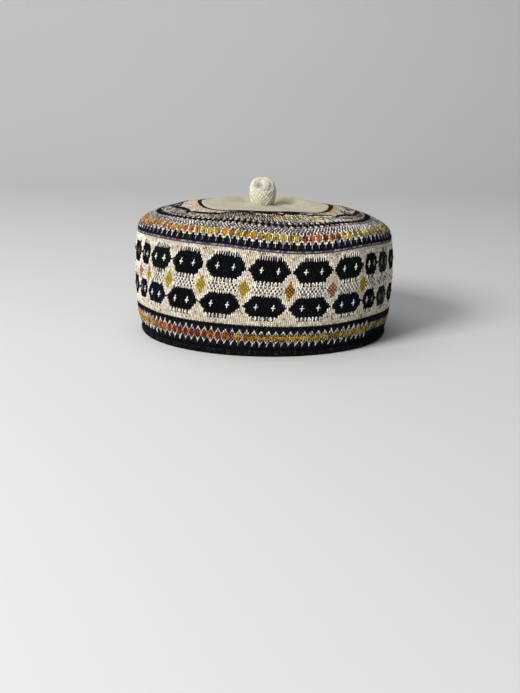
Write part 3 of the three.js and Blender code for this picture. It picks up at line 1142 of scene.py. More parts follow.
    def field_work(self) -> list[Stitchwork]:
        """The field between the black line and the seam, in an upper and a lower half."""
        works = []
        rows = np.arange(self.line_high + 0.7, self.usual_length - 0.5, self.row_pitch)
        cut = len(rows) // 2
        halves = (("field_lower_stitches", rows[:cut]), ("field_upper_stitches", rows[cut:]))
        column = (np.arange(self.columns) + 0.5) * self.pitch
        for name, some in halves:
            work = Stitchwork(name, shade_variation=0.24)
            columns, heights = (grid.ravel() for grid in np.meshgrid(column, some))
            odd = (np.floor(columns / self.pitch).astype(int) % 2).astype(bool)
            colours, width = self.chart(columns, heights, odd)
            self.stain(columns, heights, colours)
            half = 0.6 * self.row_pitch
            jog = np.where(odd, 0.3, -0.3) * np.where(self.in_diamond(columns, heights), 0.0, 1.0)
            bright = colours.sum(axis=1) > 0.5
            jog = jog + 0.3 * (self.shop.random.random(len(jog)) - 0.5) * bright
            low, normal = self.place(columns, heights - half + jog)
            high, _ = self.place(columns + 0.16 * (self.shop.random.random(len(jog)) - 0.5), heights + half + jog)
            tall = np.where(bright, 0.7, 0.5) * width
            work.lay(low, high, normal, 1.04 * self.pitch * width, tall, colours)
            works.append(work)
        return works

    def stain(self, columns: Array, heights: Array, colours: Array) -> None:
        """Darkens the stitches under the small brown spots."""
        round_way = columns + self.shear(columns) * (heights - self.middle)
        for spot in self.stains:
            gone = (round_way - spot.column + self.shop.widest.length / 2.0) % self.shop.widest.length
            away = np.hypot(gone - self.shop.widest.length / 2.0, heights - spot.height)
            share = np.clip(1.3 - away / spot.radius, 0.0, 1.0)[:, None] * spot.depth
            colours[:] = colours * (1.0 - share) + np.array(BROWN.value) * share

    def tooth_work(self) -> Stitchwork:
        """Pointed pale stitches that run into the hexagons from above and below."""
        work = Stitchwork("tooth_stitches", Stitch.ROUND, 0.18, 0.06)
        column = (np.arange(self.teeth) + 0.5) * self.shop.widest.length / self.teeth
        _, k, across = self.hexagon(column)
        column = column[across < 0.62 * self.hexagon_share * (self.gaps[k + 1] - self.gaps[k])]
        count = len(column)
        threads, weights = (*PALES, GREY, BEIGE), (0.34, 0.22, 0.05, 0.04, 0.15, 0.2)
        for row, tall in ((self.upper_row, self.upper_half_height), (self.lower_row, self.lower_half_height)):
            for way in (-1.0, 1.0):
                deep = 1.2 if way > 0.0 and row == self.upper_row else -0.3
                end = row + way * (tall - self.tooth - deep - 1.1 * self.shop.random.random(count))
                pale = self.pick(threads, count, weights)
                self.upright(work, column, row + way * (tall + 0.9), end, 0.72, 0.95, pale)
        return work

    def cross_work(self) -> Stitchwork:
        """The pair of small white crosses on each hexagon, with painted shade that dims them towards the cap's
        two ends.
        """
        work = Stitchwork("cross_stitches", Stitch.ROUND, 0.16, 0.14)
        middle = (self.gaps[:-1] + self.gaps[1:]) / 2.0
        span = self.gaps[1:] - self.gaps[:-1]
        arms = (
            (-0.1, -2.5, 0.1, -0.2, 0.85, 0.85),
            (-0.2, 0.2, 0.25, 2.7, 0.85, 0.85),
            (-1.7, -0.3, 1.75, 0.35, 0.95, 1.0),
        )
        knots = ((-0.7, -0.6, 0.45, 0.7, 1.2, 1.35), (-0.1, -0.8, 0.4, 0.6, 1.0, 1.2))
        for row in (self.upper_row, self.lower_row):
            for side in (-1.0, 1.0):
                column = middle + side * 0.187 * span
                turned = np.abs(self.turn(column))
                nape = np.sin(self.shop.widest.angle(column)) > 0.0
                from_side = np.minimum(turned, 180.0 - turned)
                # Painted shade: the crosses darken beyond 46 degrees from the sides at the nape, and beyond 60
                # degrees at the forehead.
                ends = np.clip((from_side - np.where(nape, 46.0, 60.0)) / 8.0, 0.0, 1.0)[:, None]
                arm = self.pick(PALES, len(column), (0.5, 0.1, 0.35, 0.05)) * (1.0 - 0.8 * ends)
                white = np.array(WHITE.value) * (1.0 - 0.85 * ends) * 0.9
                for rows, colour in ((arms, arm), (knots, white)):
                    for x, y, end_x, end_y, width, height in rows:
                        start, end = (column + x, row - 0.2 + y), (column + end_x, row - 0.2 + end_y)
                        self.stitch(work, start, end, width, height, colour)
        return work

    def border_work(self) -> Stitchwork:
        """The lower border: a line of lozenges with coloured cores between two black lines."""
        work = Stitchwork("lower_border_stitches", Stitch.ROUND, size_variation=0.16, shade_variation=0.2)
        motif = self.shop.widest.length / self.border_motifs
        x = (np.arange(self.border_motifs) + 0.5) * motif
        x = x[(x < self.patch_start) | (x > self.patch_end)]
        count = len(x)
        m = self.lozenge_middle
        half = motif / 2.0
        for shift in (-half, -0.55 * half, 0.55 * half):
            reach = 1.0 if shift == -half else 0.55
            black = self.pick(ALL_BLACKS, count)
            self.upright(work, x + shift, m + 6.3 - 3.2 * reach, m + 7.2, 1.5, 0.75, black)
            self.upright(work, x + shift, m - 8.6, m - 6.2 + 3.0 * reach, 1.5, 0.75, black)
        core = self.shop.run_colours(self.core_runs, x)
        tan = (turn_between(np.degrees(self.shop.widest.angle(x)), self.tan_middle) < self.tan_reach)[:, None]
        core = np.where(tan, np.array(TAN.value), core)
        blocks = (
            (0.0, -3.5, -1.5), (0.0, -1.8, 0.1), (0.0, -0.1, 1.8), (0.0, 1.5, 3.5),
            (-1.25, -1.6, 0.1), (-1.25, -0.1, 1.6), (1.25, -1.6, 0.1), (1.25, -0.1, 1.6),
            (-2.0, -0.6, 0.6), (2.0, -0.6, 0.6),
        )
        for column, low, high in blocks:
            # Painted shade: the darkest tone stands in for the shadowed gaps between the core's stitches; the
            # other tones vary the thread at random.
            tone = self.shop.random.choice([0.28, 0.6, 0.8, 1.0], size=(count, 1), p=[0.2, 0.24, 0.3, 0.26])
            self.upright(work, x + column, m + low, m + high, 1.3, 1.15, core * tone)
        pales, weights = (*PALES, GREY, PINK_BEIGE), (0.14, 0.22, 0.04, 0.1, 0.2, 0.3)
        edge = ((0.98, 0.5, 0.8), (0.74, 2.1, 0.9), (0.42, 3.5, 0.8), (0.1, 4.7, 0.8))
        for side, way, (across, level, long) in product((-1.0, 1.0), (-1.0, 1.0), edge):
            pale = self.pick(pales, count, weights) * (0.58 if level < 3.0 else 0.95)
            pale = np.where(tan, np.array(TAN.value), pale)
            place, height = x + side * across * half, m + way * level
            self.stitch(work, (place, height - long), (place + 0.1, height + long), 0.85, 1.1, pale)
        for start, end in ((3.9, 6.3), (-3.9, -7.0)):
            cool = self.pick((*PALES, GREY), count, (0.32, 0.1, 0.24, 0.14, 0.2))
            reach = m + end * (0.88 + 0.24 * self.shop.random.random(count))
            cool = np.where(tan, np.array(BLACK.value), cool)
            self.stitch(work, (x, m + start), (x - 0.1, reach), 0.9, 1.05, cool)
        self.patch_stitches(work)
        return work

    def patch_stitches(self, work: Stitchwork) -> None:
        """The plain olive patch over the join of the lower border, at the nape's left."""
        column = np.arange(self.patch_start + 0.6, self.patch_end - 0.4, 1.2)
        count = len(column)
        m = self.lozenge_middle
        threads = (OLIVE, OLIVE_BEIGE, DUSK, GREY)
        for low, high in ((-3.4, -0.9), (-1.2, 1.4), (1.1, 3.9)):
            colours = self.pick(threads, count, (0.3, 0.2, 0.2, 0.3)) * 0.8
            self.stitch(work, (column, m + low), (column + 0.3, m + high), 1.25, 0.9, colours)
        for level in (-6.6, -4.6, 4.9, 6.9):
            self.upright(work, column, m + level - 1.1, m + level + 1.1, 1.4, 0.85, self.pick(BLACKS, count))
        seam = np.array([self.patch_start - 0.4, self.patch_start + 0.5, self.patch_end])
        self.upright(work, seam, m - 4.0, m + 4.2, 0.9, 1.3, BRICK.value)

    def line_work(self) -> Stitchwork:
        """The black line over the lozenges and the black foot under them."""
        work = Stitchwork("black_line_stitches", shade_variation=0.3)
        column = (np.arange(self.columns) + 0.5) * self.pitch
        for row in (*np.arange(self.line_low + 0.6, self.line_high, 1.2), 0.6, 1.8, 3.0):
            # The grey-black among the blacks is a painted highlight.
            colours = self.pick((*ALL_BLACKS, SOOT), self.columns, (0.5, 0.16, 0.12, 0.12, 0.1))
            self.upright(work, column, row - 0.95, row + 0.95, 1.5, 0.8, colours)
        return work

    def cloth(self) -> bpy.types.Mesh:
        """The cloth wall: the ground behind the stitches outside, darkened as painted shade in the gaps between
        them, and plain cloth inside.
        """
        around = self.columns
        angle = even_turns(around)
        length = self.shop.band.length(angle)
        rows, colours = [], []
        round_way = np.interp(angle, self.shop.widest.angles, self.shop.widest.walked)
        for share in np.linspace(0.0, 1.0, self.outer_rows):
            point, normal = self.shop.band.at(angle, share * (length - 0.9))
            rows.append(point - normal * 0.15)
            height = share * self.usual_length
            column = round_way - self.shear(round_way) * (height - self.middle)
            if height < self.line_high:
                colours.append(self.pick(BLACKS, around))
            else:
                shown, _ = self.chart(column, np.full(around, height), np.zeros(around, dtype=bool))
                # Painted shade: the ground behind the field is the chart's colour at 0.7, for the shade in the
                # gaps between the stitches.
                colours.append(0.7 * shown)
        for share in np.linspace(1.0, 0.0, self.inner_rows):
            point, normal = self.shop.band.at(angle, share * (length - 0.9))
            rows.append(point - normal * self.shop.form.cloth)
            colours.append(np.broadcast_to(CREAM.value, (around, 3)))
        return self.wall("side_band_cloth", rows, colours, self.outer_rows)

    def build(self) -> None:
        """Makes the band's pieces."""
        cloth = add_piece("side_band_cloth", self.cloth())
        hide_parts("side_band")
        works = (self.tooth_work, self.eyelet_work, self.cross_work, self.border_work, self.line_work)
        for work in (*self.field_work(), *(lay() for lay in works)):
            work.sew(self.shop.tree, self.shop.materials.thread)


@dataclass(frozen=True)
class Mark:
    """A thick black stroke on the crown: its ends in degrees and in millimetres up the cloth, and its width."""

    start_turn: float
    start: float
    end_turn: float
    end: float
    width: float


@dataclass
class Crown(Embroidery):
    """The rounded crown: a cloth wall under rows of embroidery that run round the panel.

    Heights are millimetres up the cloth from the seam.
    """

    motifs: int = 107
    lozenge_middle: float = 10.7
    lace_low: float = 15.4
    lace_high: float = 20.8
    black_middle: float = 25.0
    black_rise: float = 1.8
    tuft_low: float = 29.6
    ring_tip: float = 22.0
    ring_clearance: float = 0.9
    ring_width: float = 2.0
    ring_height: float = 1.2
    piping_width: float = 2.0
    piping_proud: float = 0.8
    seam_width: float = 1.6
    seam_proud: float = 0.7
    gap: float = 0.3
    point_columns: int = 856
    point_rows: int = 10
    cloth_columns: int = 428
    outer_rows: int = 33
    inner_rows: int = 10
    trim_steps: int = 400
    marks: tuple[Mark, ...] = listed(
        Mark,
        (-86.0, 33.6, -86.5, 42.5, 2.0), (-74.0, 34.6, -72.5, 41.0, 2.0), (-97.0, 34.6, -98.0, 41.0, 1.6),
        (75.5, 46.5, 72.5, 38.6, 2.2), (79.5, 45.0, 78.0, 39.6, 1.8), (91.0, 45.0, 91.0, 40.0, 1.6),
        (83.5, 19.6, 80.5, 18.4, 2.0), (6.5, 39.8, 11.5, 39.4, 2.6), (31.5, 41.6, 35.0, 41.2, 2.2),
        (-34.0, 36.0, -24.0, 38.2, 2.2),
    )
    sags: tuple[float, ...] = (
        -58.0, -33.0, -11.0, 11.5, 34.0, 55.0, 78.0, 103.0, 131.0, 158.0, 186.0, 215.0, 243.0, 268.0
    )
    core_runs: tuple[Run, ...] = listed(
        Run,
        (0.075, (ORANGE, GOLD)), (0.135, (GOLD, ORANGE)), (0.155, (BRICK, ORANGE)), (0.205, (GOLD, YELLOW)),
        (0.215, (ORANGE,)), (0.30, (YELLOW, GOLD)), (0.35, (BRICK, ORANGE, BRICK)), (0.48, (YELLOW, OLIVE)),
        (0.6, (ORANGE, BRICK)), (0.78, (YELLOW, GOLD)), (0.9, (GOLD, ORANGE)), (1.0, (YELLOW, ORANGE)),
    )
    tuft_runs: tuple[Run, ...] = listed(
        Run,
        (0.17, (GREY, BEIGE)), (0.2, (OLIVE, GREY)), (0.262, (BROWN, PEACH, BROWN)), (0.283, (ORANGE, GOLD)),
        (0.297, (YELLOW, OLIVE)), (0.37, (OLIVE, YELLOW)), (0.44, (GREY, OLIVE)), (0.56, (ORANGE, BROWN)),
        (0.7, (YELLOW, GOLD)), (0.85, (BROWN, PEACH)), (1.0, (YELLOW, OLIVE)),
    )

    def angle(self, column: Array, height: Array) -> Array:
        """The angle round the cap of places in the pattern, whose rows lean, most of all at the cap's ends."""
        column, height = np.asarray(column), np.asarray(height)
        toward = np.sin(column / self.shop.widest.length * 2.0 * np.pi)
        lean = 0.1 * np.minimum(height, 14.0) + 0.75 * toward * np.clip(height - 6.0, 0.0, 11.0)
        return self.shop.widest.angle(column + lean - 1.0)

    def stitch(
        self, work: Stitchwork, start: tuple, end: tuple, width: float, height: float, colour: Array
    ) -> None:
        """Lays stitches between two places in the pattern, narrower where the crown draws in."""
        low_angle = self.angle(*start)
        low, normal = self.shop.crown.at(low_angle, start[1])
        high, _ = self.shop.crown.at(self.angle(*end), end[1])
        form = self.shop.form
        widest = np.hypot(form.half_breadth * np.cos(low_angle), form.half_length * np.sin(low_angle))
        drawn = np.hypot(low[:, 0] + high[:, 0], low[:, 1] + high[:, 1]) / 2.0 / widest
        lift = normal * (0.25 * height)
        work.lay(low + lift, high + lift, normal, width * drawn, height, colour)

    def border_work(self) -> Stitchwork:
        """The border over the seam: black teeth and coloured lozenges with pale knots between them."""
        work = Stitchwork("crown_border_stitches", Stitch.ROUND, size_variation=0.15, shade_variation=0.2)
        x, half, count = self.places()
        m = self.lozenge_middle
        # Painted shade on the pale threads, towards the cap's two ends.
        end_shade = self.shade_towards_ends(x)
        greyed = (*PALES, GREY)
        teeth = (
            (0.0, 7.6, 1.4), (-1.15, 5.6, 1.4), (1.15, 5.5, 1.4),
            (-2.0, 4.0, 1.3), (2.0, 4.1, 1.3), (half, 2.7, 1.4),
        )
        for shift, top, width in teeth:
            self.upright(work, x + half + shift, 0.4, top, width, 0.95, self.pick(ALL_BLACKS, count))
        self.upright(work, x, 2.5, 5.6, 0.55, 0.95, self.pick(greyed, count, (0.2, 0.15, 0.15, 0.25, 0.25)))
        knots = self.pick(greyed, count, (0.4, 0.25, 0.05, 0.15, 0.15)) * end_shade
        self.upright(work, x, 5.3, 7.2, 1.15, 1.2, knots)
        core = self.shop.run_colours(self.core_runs, x)
        # Painted shade: the darkest tone stands in for the shadowed gaps between the core's stitches; the other
        # tones vary the thread at random.
        tones, tone_weights = (0.25, 0.6, 0.85, 1.0), (0.24, 0.22, 0.28, 0.26)
        for column, reach in ((0.0, 4.3), (-1.25, 1.9), (1.25, 1.9)):
            rows = max(1, round(reach))
            step = 2.0 * reach / rows
            for row in range(rows):
                low = m - reach + row * step
                tone = self.shop.random.choice(tones, size=(count, 1), p=tone_weights)
                self.upright(work, x + column, low - 0.25, low + step + 0.25, 1.3, 1.2, core * tone)
        for side, way in product((-1.0, 1.0), (-1.0, 1.0)):
            corner = self.pick((*PALES, PINK_BEIGE), count, (0.2, 0.3, 0.05, 0.2, 0.25)) * end_shade
            self.upright(work, x + 1.3 * side, m + 2.3 * way, m + 3.5 * way, 0.8, 1.0, corner * 0.85)
            pale = self.pick(greyed, count, (0.35, 0.25, 0.05, 0.2, 0.15)) * end_shade
            start, end = (x + 0.98 * side * half, m + 1.5 * way), (x + 0.66 * side * half, m + 3.5 * way)
            self.stitch(work, start, end, 0.85, 1.15, pale)
            dots = self.pick(PALES, count, (0.45, 0.15, 0.1, 0.3)) * end_shade
            level = m + 4.3 * way
            self.upright(work, x + 0.42 * side * half, level - 0.8, level + 0.8, 0.9, 1.0, dots)
        knots = self.pick(PALES, count, (0.6, 0.25, 0.02, 0.13)) * end_shade
        self.upright(work, x + half, m - 1.2, m + 1.2, 1.2, 1.3, knots)
        return work

    def lace_work(self) -> Stitchwork:
        """The white and lavender net with the black crosses over it."""
        work = Stitchwork("crown_lace_stitches", Stitch.ROUND, 0.18, 0.12, 0.26)
        x, half, count = self.places()
        low, high = self.lace_low, self.lace_high
        # Painted shade on the pale threads, towards the cap's two ends.
        end_shade = self.shade_towards_ends(x)
        step = (high - low) / 3.0
        dark = (DUSK, LAVENDER, GREY, PLUM, BLACK)
        for shift, k in product((0.0, 0.5 * half, half, 1.5 * half), range(3)):
            dim = self.pick(dark, count, (0.25, 0.1, 0.2, 0.2, 0.25))
            start = low + k * step
            self.stitch(work, (x + shift, start), (x + shift + 0.5, start + 1.2 * step), 1.0, 0.6, dim)
        for k, shift in product(range(4), (0.0, half)):
            place = x + shift + (0.0 if k % 2 else 0.5 * half)
            level = low + 0.3 + k * (high - low) / 3.5
            dots = self.pick(PALES, count, (0.5, 0.15, 0.1, 0.25)) * end_shade
            self.stitch(work, (place - 0.2, level - 0.6), (place + 0.2, level + 0.6), 1.05, 1.15, dots)
        turn = self.turn(x)
        middle = self.black_middle + self.black_rise * bump(turn - 55.0, 60.0) - 2.4 * bump(turn + 85.0, 50.0)
        turned = np.minimum(np.abs(turn), 180.0 - np.abs(turn))
        slight = np.clip(1.4 - turned / 40.0, 0.12, 1.0)
        aside = np.clip(1.6 - turned / 26.0, 0.05, 1.0)
        for part, wide, tall in ((-1.9, 1.8, 1.9), (1.9, 1.8, 1.9), (0.0, 2.0, 1.8)):
            black = self.pick(BLACKS, count, (0.8, 0.1, 0.1))
            reach = tall * (0.3 + 0.7 * slight)
            start, end = (x - 0.2, middle + part - reach), (x + 0.2, middle + part + reach)
            self.stitch(work, start, end, wide * slight, 1.3, black)
        for side, (out, tall, wide) in product((-1.0, 1.0), ((1.2, 1.3, 1.35), (1.95, 0.7, 0.9))):
            black = self.pick(BLACKS, count, (0.8, 0.1, 0.1))
            self.upright(work, x + out * side, middle - tall, middle + tall, wide * aside, 1.1, black)
        for way in (-1.0, 1.0):
            pale = self.pick(PALES, count, (0.5, 0.2, 0.1, 0.2)) * end_shade
            start, stop = middle + 2.2 * way, middle + 3.9 * way
            self.stitch(work, (x + half + 0.2, start), (x + half - 0.2, stop), 1.1, 1.2, pale)
        for out in (-0.75, 0.75):
            pale = self.pick((GREY, BEIGE, LAVENDER), count, (0.5, 0.3, 0.2)) * end_shade
            place = x + half + out
            for start, stop in ((-3.4, -1.6), (1.6, 3.4)):
                self.stitch(work, (place + 0.3, middle + start), (place - 0.3, middle + stop), 0.8, 1.0, pale)
        return work

    def places(self) -> tuple[Array, float, int]:
        """The middles of the motifs round the cap, half the width of one, and how many they are."""
        motif = self.shop.widest.length / self.motifs
        return (np.arange(self.motifs) + 0.5) * motif, motif / 2.0, self.motifs

    def shade_towards_ends(self, column: Array) -> Array:
        """Painted shade for pale thread: how much of its lightness it keeps, less towards the cap's two ends."""
        return 1.0 - 0.62 * np.clip(np.abs(self.turn(column)) / 30.0 - 1.2, 0.0, 1.0)[:, None]

    def ring_distance(self, angle: Array) -> Array:
        """How far up the cloth the eye-shaped ring crosses, at these angles."""
        form = self.shop.form
        long = form.panel_half_length + self.ring_tip
        short = form.panel_half_breadth + self.piping_width / 2.0 + self.ring_clearance + self.ring_width / 2.0
        radius = (long**2 + short**2) / (2.0 * short)
        low, high = np.zeros(len(angle)), self.shop.crown.length(angle)
        for _ in range(20):
            middle = (low + high) / 2.0
            point, _ = self.shop.crown.at(angle, middle)
            outside = np.hypot(np.abs(point[:, 0]) + radius - short, point[:, 1]) > radius
            low, high = np.where(outside, middle, low), np.where(outside, high, middle)
        return low

    def sagging(self, angle: Array) -> Array:
        """How far the sewn ring wanders from its plain eye shape towards the seam, between its sewn spots."""
        degrees = np.degrees(angle)
        wander = 0.35 * np.sin(7.0 * angle + 0.8) + 0.25 * np.sin(19.0 * angle + 2.0)
        wander = wander + 0.14 * np.sin(41.0 * angle)
        wander = wander + 3.4 * bump(turn_between(degrees, -45.0), 34.0)
        for place in self.sags:
            wander = wander + 2.4 * bump(turn_between(degrees, place), 4.0)
        return wander

    def ring_line(self, angle: Array) -> Array:
        """How far up the cloth the sewn ring runs, its wandering taken in."""
        return self.ring_distance(angle) - self.sagging(angle)

    def tuft_work(self) -> Stitchwork:
        """The row of coloured diamonds and slanting white strokes between the black crosses and the ring."""
        work = Stitchwork("tuft_stitches", Stitch.ROUND, 0.2, 0.12, 0.26)
        x, half, count = self.places()
        low = self.tuft_low
        grounds = (GREY, DUSK, OLIVE_BEIGE, BROWN)
        for shift in (0.0, 0.25, 0.5, 0.75):
            column = x + shift * (2.0 * half)
            span = np.maximum(self.ring_line(self.angle(column, low)) - 1.5 - low, 1.0)
            parts = np.maximum(np.round(span / 3.4), 1.0)
            for part in range(int(parts.max())):
                inside = part < parts
                start = low + span * part / parts
                end = low + span * (part + 1) / parts + 0.4
                ground = self.pick(grounds, count, (0.3, 0.3, 0.2, 0.2))
                self._some(work, inside, (column + 0.3, start), (column - 0.4, end), 1.25, 0.75, ground)
                pale = self.pick(PALES, count, (0.4, 0.32, 0.08, 0.2)) * 0.8 * self.shade_towards_ends(x)
                if shift in (0.0, 0.5):
                    first, last = (column + 1.0, start + 0.5), (column - 0.5, end - 0.4)
                    self._some(work, inside, first, last, 0.6, 1.1, pale)
        span = np.clip(self.ring_line(self.angle(x, low)) - 1.5 - low, 1.0, 15.0)
        middle = low + 0.6 * span
        tall = np.minimum(3.0, 0.34 * span)
        core = self.shop.run_colours(self.tuft_runs, x) * 0.66
        self.stitch(work, (x + 0.2, middle - tall), (x - 0.2, middle + tall), 1.5, 1.3, core)
        for side in (-1.0, 1.0):
            self.upright(work, x + 1.15 * side, middle - 0.5 * tall, middle + 0.5 * tall, 1.2, 1.1, core * 0.8)
        return work

    def _some(
        self, work: Stitchwork, use: Array, start: tuple, end: tuple, width: float, height: float, colour: Array
    ) -> None:
        """Lays only the stitches that are picked out."""
        first, last = (tuple(np.broadcast_to(part, use.shape)[use] for part in spot) for spot in (start, end))
        self.stitch(work, first, last, width, height, colour[use])

    def point_work(self) -> Stitchwork:
        """The stitches in the eye's two points, fore and aft of the panel."""
        work = Stitchwork("eye_point_stitches", Stitch.PLAIN, turn_variation=0.12, shade_variation=0.2)
        columns = self.point_columns
        column = (np.arange(columns) + 0.5) * self.shop.widest.length / columns
        angle = self.shop.widest.angle(column)
        start = self.ring_line(angle) + 1.3
        end = self.shop.crown.length(angle) - self.piping_width / 2.0 - 0.3
        rows = self.point_rows
        pitch = (end - start) / rows
        front = np.sin(angle) < 0.0
        grounds = (OLIVE_BEIGE, GREY, BEIGE, LAVENDER)
        for row in range(rows):
            use = (end - start > 2.0) & (np.arange(columns) % 2 == row % 2)
            share = (row + 0.5) / rows
            colours = self.pick(grounds, columns, (0.25, 0.25, 0.25, 0.25))
            warm = (share > 0.72) & (np.arange(columns) % 8 < 5)
            colours[warm & front] = PEACH.value
            colours[warm & ~front] = self.pick((GOLD, ORANGE), int((warm & ~front).sum()))
            low, normal = self.shop.crown.at(angle, start + pitch * (row - 0.15))
            high, _ = self.shop.crown.at(angle, start + pitch * (row + 1.15))
            work.lay(low[use], high[use], normal[use], 1.2, 0.7, colours[use])
        for mark in self.marks:
            for flip in (False, True):
                ends = [math.radians(180.0 - turn if flip else turn) for turn in (mark.start_turn, mark.end_turn)]
                steps = np.linspace(0.0, 1.0, 4)
                turns = ends[0] + (ends[1] - ends[0]) * steps
                point, normal = self.shop.crown.at(turns, mark.start + (mark.end - mark.start) * steps)
                point = point + normal * 0.35
                work.lay(point[:-1], point[1:], normal[:-1], mark.width, 1.1, BLACK.value)
        return work

    def cloth(self) -> bpy.types.Mesh:
        """The cloth wall: a grey-beige ground outside, and plain cloth inside."""
        around = self.cloth_columns
        angle = even_turns(around)
        length = self.shop.crown.length(angle)
        start, stop = self.seam_width / 2.0 + self.gap, self.piping_width / 2.0 + self.gap
        ring = self.ring_distance(angle)
        tans = (GREY, OLIVE_BEIGE, LAVENDER)
        rows, colours = [], []
        for share in np.linspace(0.0, 1.0, self.outer_rows):
            height = start + share * (length - start - stop)
            point, normal = self.shop.crown.at(angle, height)
            rows.append(point - normal * 0.1)
            dark = height < self.lace_low
            ground = self.pick((DUSK, GREY, PLUM), around, (0.5, 0.35, 0.15))
            tan = np.abs(height - self.black_middle) < 4.0
            ground[tan] = self.pick(tans, int(tan.sum()), (0.5, 0.3, 0.2))
            inside = height > ring
            ground[inside] = self.pick((GREY, BEIGE), int(inside.sum()))
            ground[dark & ~inside] = BLACK.value
            colours.append(ground)
        for share in np.linspace(1.0, 0.0, self.inner_rows):
            point, normal = self.shop.crown.at(angle, start + share * (length - start - stop))
            rows.append(point - normal * self.shop.form.cloth)
            colours.append(np.broadcast_to(CREAM.value, (around, 3)))
        return self.wall("crown_cloth", rows, colours, self.outer_rows)

    @staticmethod
    def slimness(angle: Array) -> Array:
        """How much of its full section the ring or the panel's piping keeps, less away from the cap's ends."""
        ends = np.clip((np.abs(np.sin(angle)) - 0.8) / 0.16, 0.0, 1.0)
        near = 0.82 + 0.2 * ends * ends * (3.0 - 2.0 * ends)
        far = np.clip(-np.cos(angle) / 0.12, 0.0, 1.0)
        return near * (1.0 - far) + 0.4 * far

    def trim(
        self, name: str, distance: Array, width: float, proud: float, depth: float, thread: Thread
    ) -> bpy.types.Mesh:
        """A ring of thread that follows the cloth.

        Args:
            name: The mesh's name.
            distance: How far up the cloth it runs, for each of its steps round the cap.
            width: How wide it is.
            proud: How far it stands out of the cloth.
            depth: How far it goes into the cloth; negative where it only lies on it.
            thread: Its thread.

        Returns:
            A closed mesh.
        """
        steps = len(distance)
        angle = even_turns(steps)
        point, normal = self.shop.crown.at(angle, distance)
        ahead, _ = self.shop.crown.at(angle, np.minimum(distance + 0.4, self.shop.crown.length(angle)))
        behind, _ = self.shop.crown.at(angle, np.maximum(distance - 0.4, 0.0))
        up = unit(ahead - behind)
        rows = []
        slim = self.slimness(angle)[:, None] if thread is BLACK else 1.0
        half = width / 2.0 * slim
        for place in np.linspace(-1.0, 1.0, 9) * math.pi / 2:
            rows.append(point + up * (half * math.sin(place)) + normal * (proud * slim * math.cos(place)))
        for place in (0.7, -0.7):
            rows.append(point + up * (half * place) - normal * depth)
        mesh = mesh_of(name, np.concatenate(rows), tube_faces(len(rows), steps))
        colour_points(mesh, np.broadcast_to(thread.value, (len(rows) * steps, 3)))
        mesh.materials.append(self.shop.materials.thread)
        return mesh

    def overcast(
        self, name: str, distance: Array, count: int, width: float, proud: float, threads: tuple[Thread, ...]
    ) -> Stitchwork:
        """Slanting stitches over a trim.

        Args:
            name: The piece's name.
            distance: How far up the cloth the trim runs, as for trim.
            count: How many stitches.
            width: The trim's width.
            proud: How far it stands out of the cloth.
            threads: The threads to choose from.

        Returns:
            The stitches.
        """
        work = Stitchwork(name, Stitch.ROUND, 0.16, 0.16, 0.3)
        angle = even_turns(count, 0.5)
        steps = len(distance)
        middle = np.interp(angle, np.arange(steps + 1) * 2.0 * np.pi / steps, np.append(distance, distance[0]))
        lean = 0.7 / self.shop.form.half_breadth
        low, normal = self.shop.crown.at(angle - lean, middle - 0.62 * width)
        top = np.minimum(middle + 0.62 * width, self.shop.crown.length(angle) + 5.0)
        high, _ = self.shop.crown.at(angle + lean, top)
        slim = self.slimness(angle) if threads is BLACKS else np.ones(count)
        centre = (low + high) / 2.0
        low, high = centre + (low - centre) * slim[:, None], centre + (high - centre) * slim[:, None]
        lift = normal * (0.62 * proud * slim)[:, None]
        work.lay(low + lift, high + lift, normal, 1.15, 0.9 * proud * slim, self.pick(threads, count))
        return work

    def build(self) -> None:
        """Makes the crown's pieces, its piping and its ring."""
        thread = self.shop.materials.thread
        cloth = add_piece("crown_cloth", self.cloth())
        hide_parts("crown")
        for work in (self.border_work(), self.lace_work(), self.tuft_work(), self.point_work()):
            work.sew(self.shop.tree, thread)
        angle = even_turns(self.trim_steps)
        length = self.shop.crown.length(angle)
        ring = self.ring_line(angle)
        piping = (self.piping_width, self.piping_proud)
        trims = (
            ("seam_piping", 0.0 * angle, self.seam_width, self.seam_proud, 1.6, PLUM, "lavender_thread"),
            ("panel_piping", length, *piping, 1.6, BLACK, "black_thread"),
            ("crown_ring", ring, self.ring_width, self.ring_height, -0.05, BLACK, "black_thread"),
        )
        for node, distance, width, proud, depth, shade, slot in trims:
            piece = add_piece(f"{node}_cord", self.trim(f"{node}_cord", distance, width, proud, depth, shade))
            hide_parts(node)
        lavender = (LAVENDER, PLUM, GREY, PLUM, GREY)
        rows = (
            ("seam_piping_stitches", 0.0 * angle + 0.5, 428, 1.2, self.seam_proud, lavender, "lavender_thread"),
            ("panel_piping_stitches", length - 0.5, 260, *piping, BLACKS, "black_thread"),
            ("crown_ring_stitches", ring, 300, self.ring_width, self.ring_height, BLACKS, "black_thread"),
        )
        for name, distance, count, width, proud, threads, slot in rows:
            work = self.overcast(name, distance, count, width, proud, threads)
            work.sew(self.shop.tree, thread)


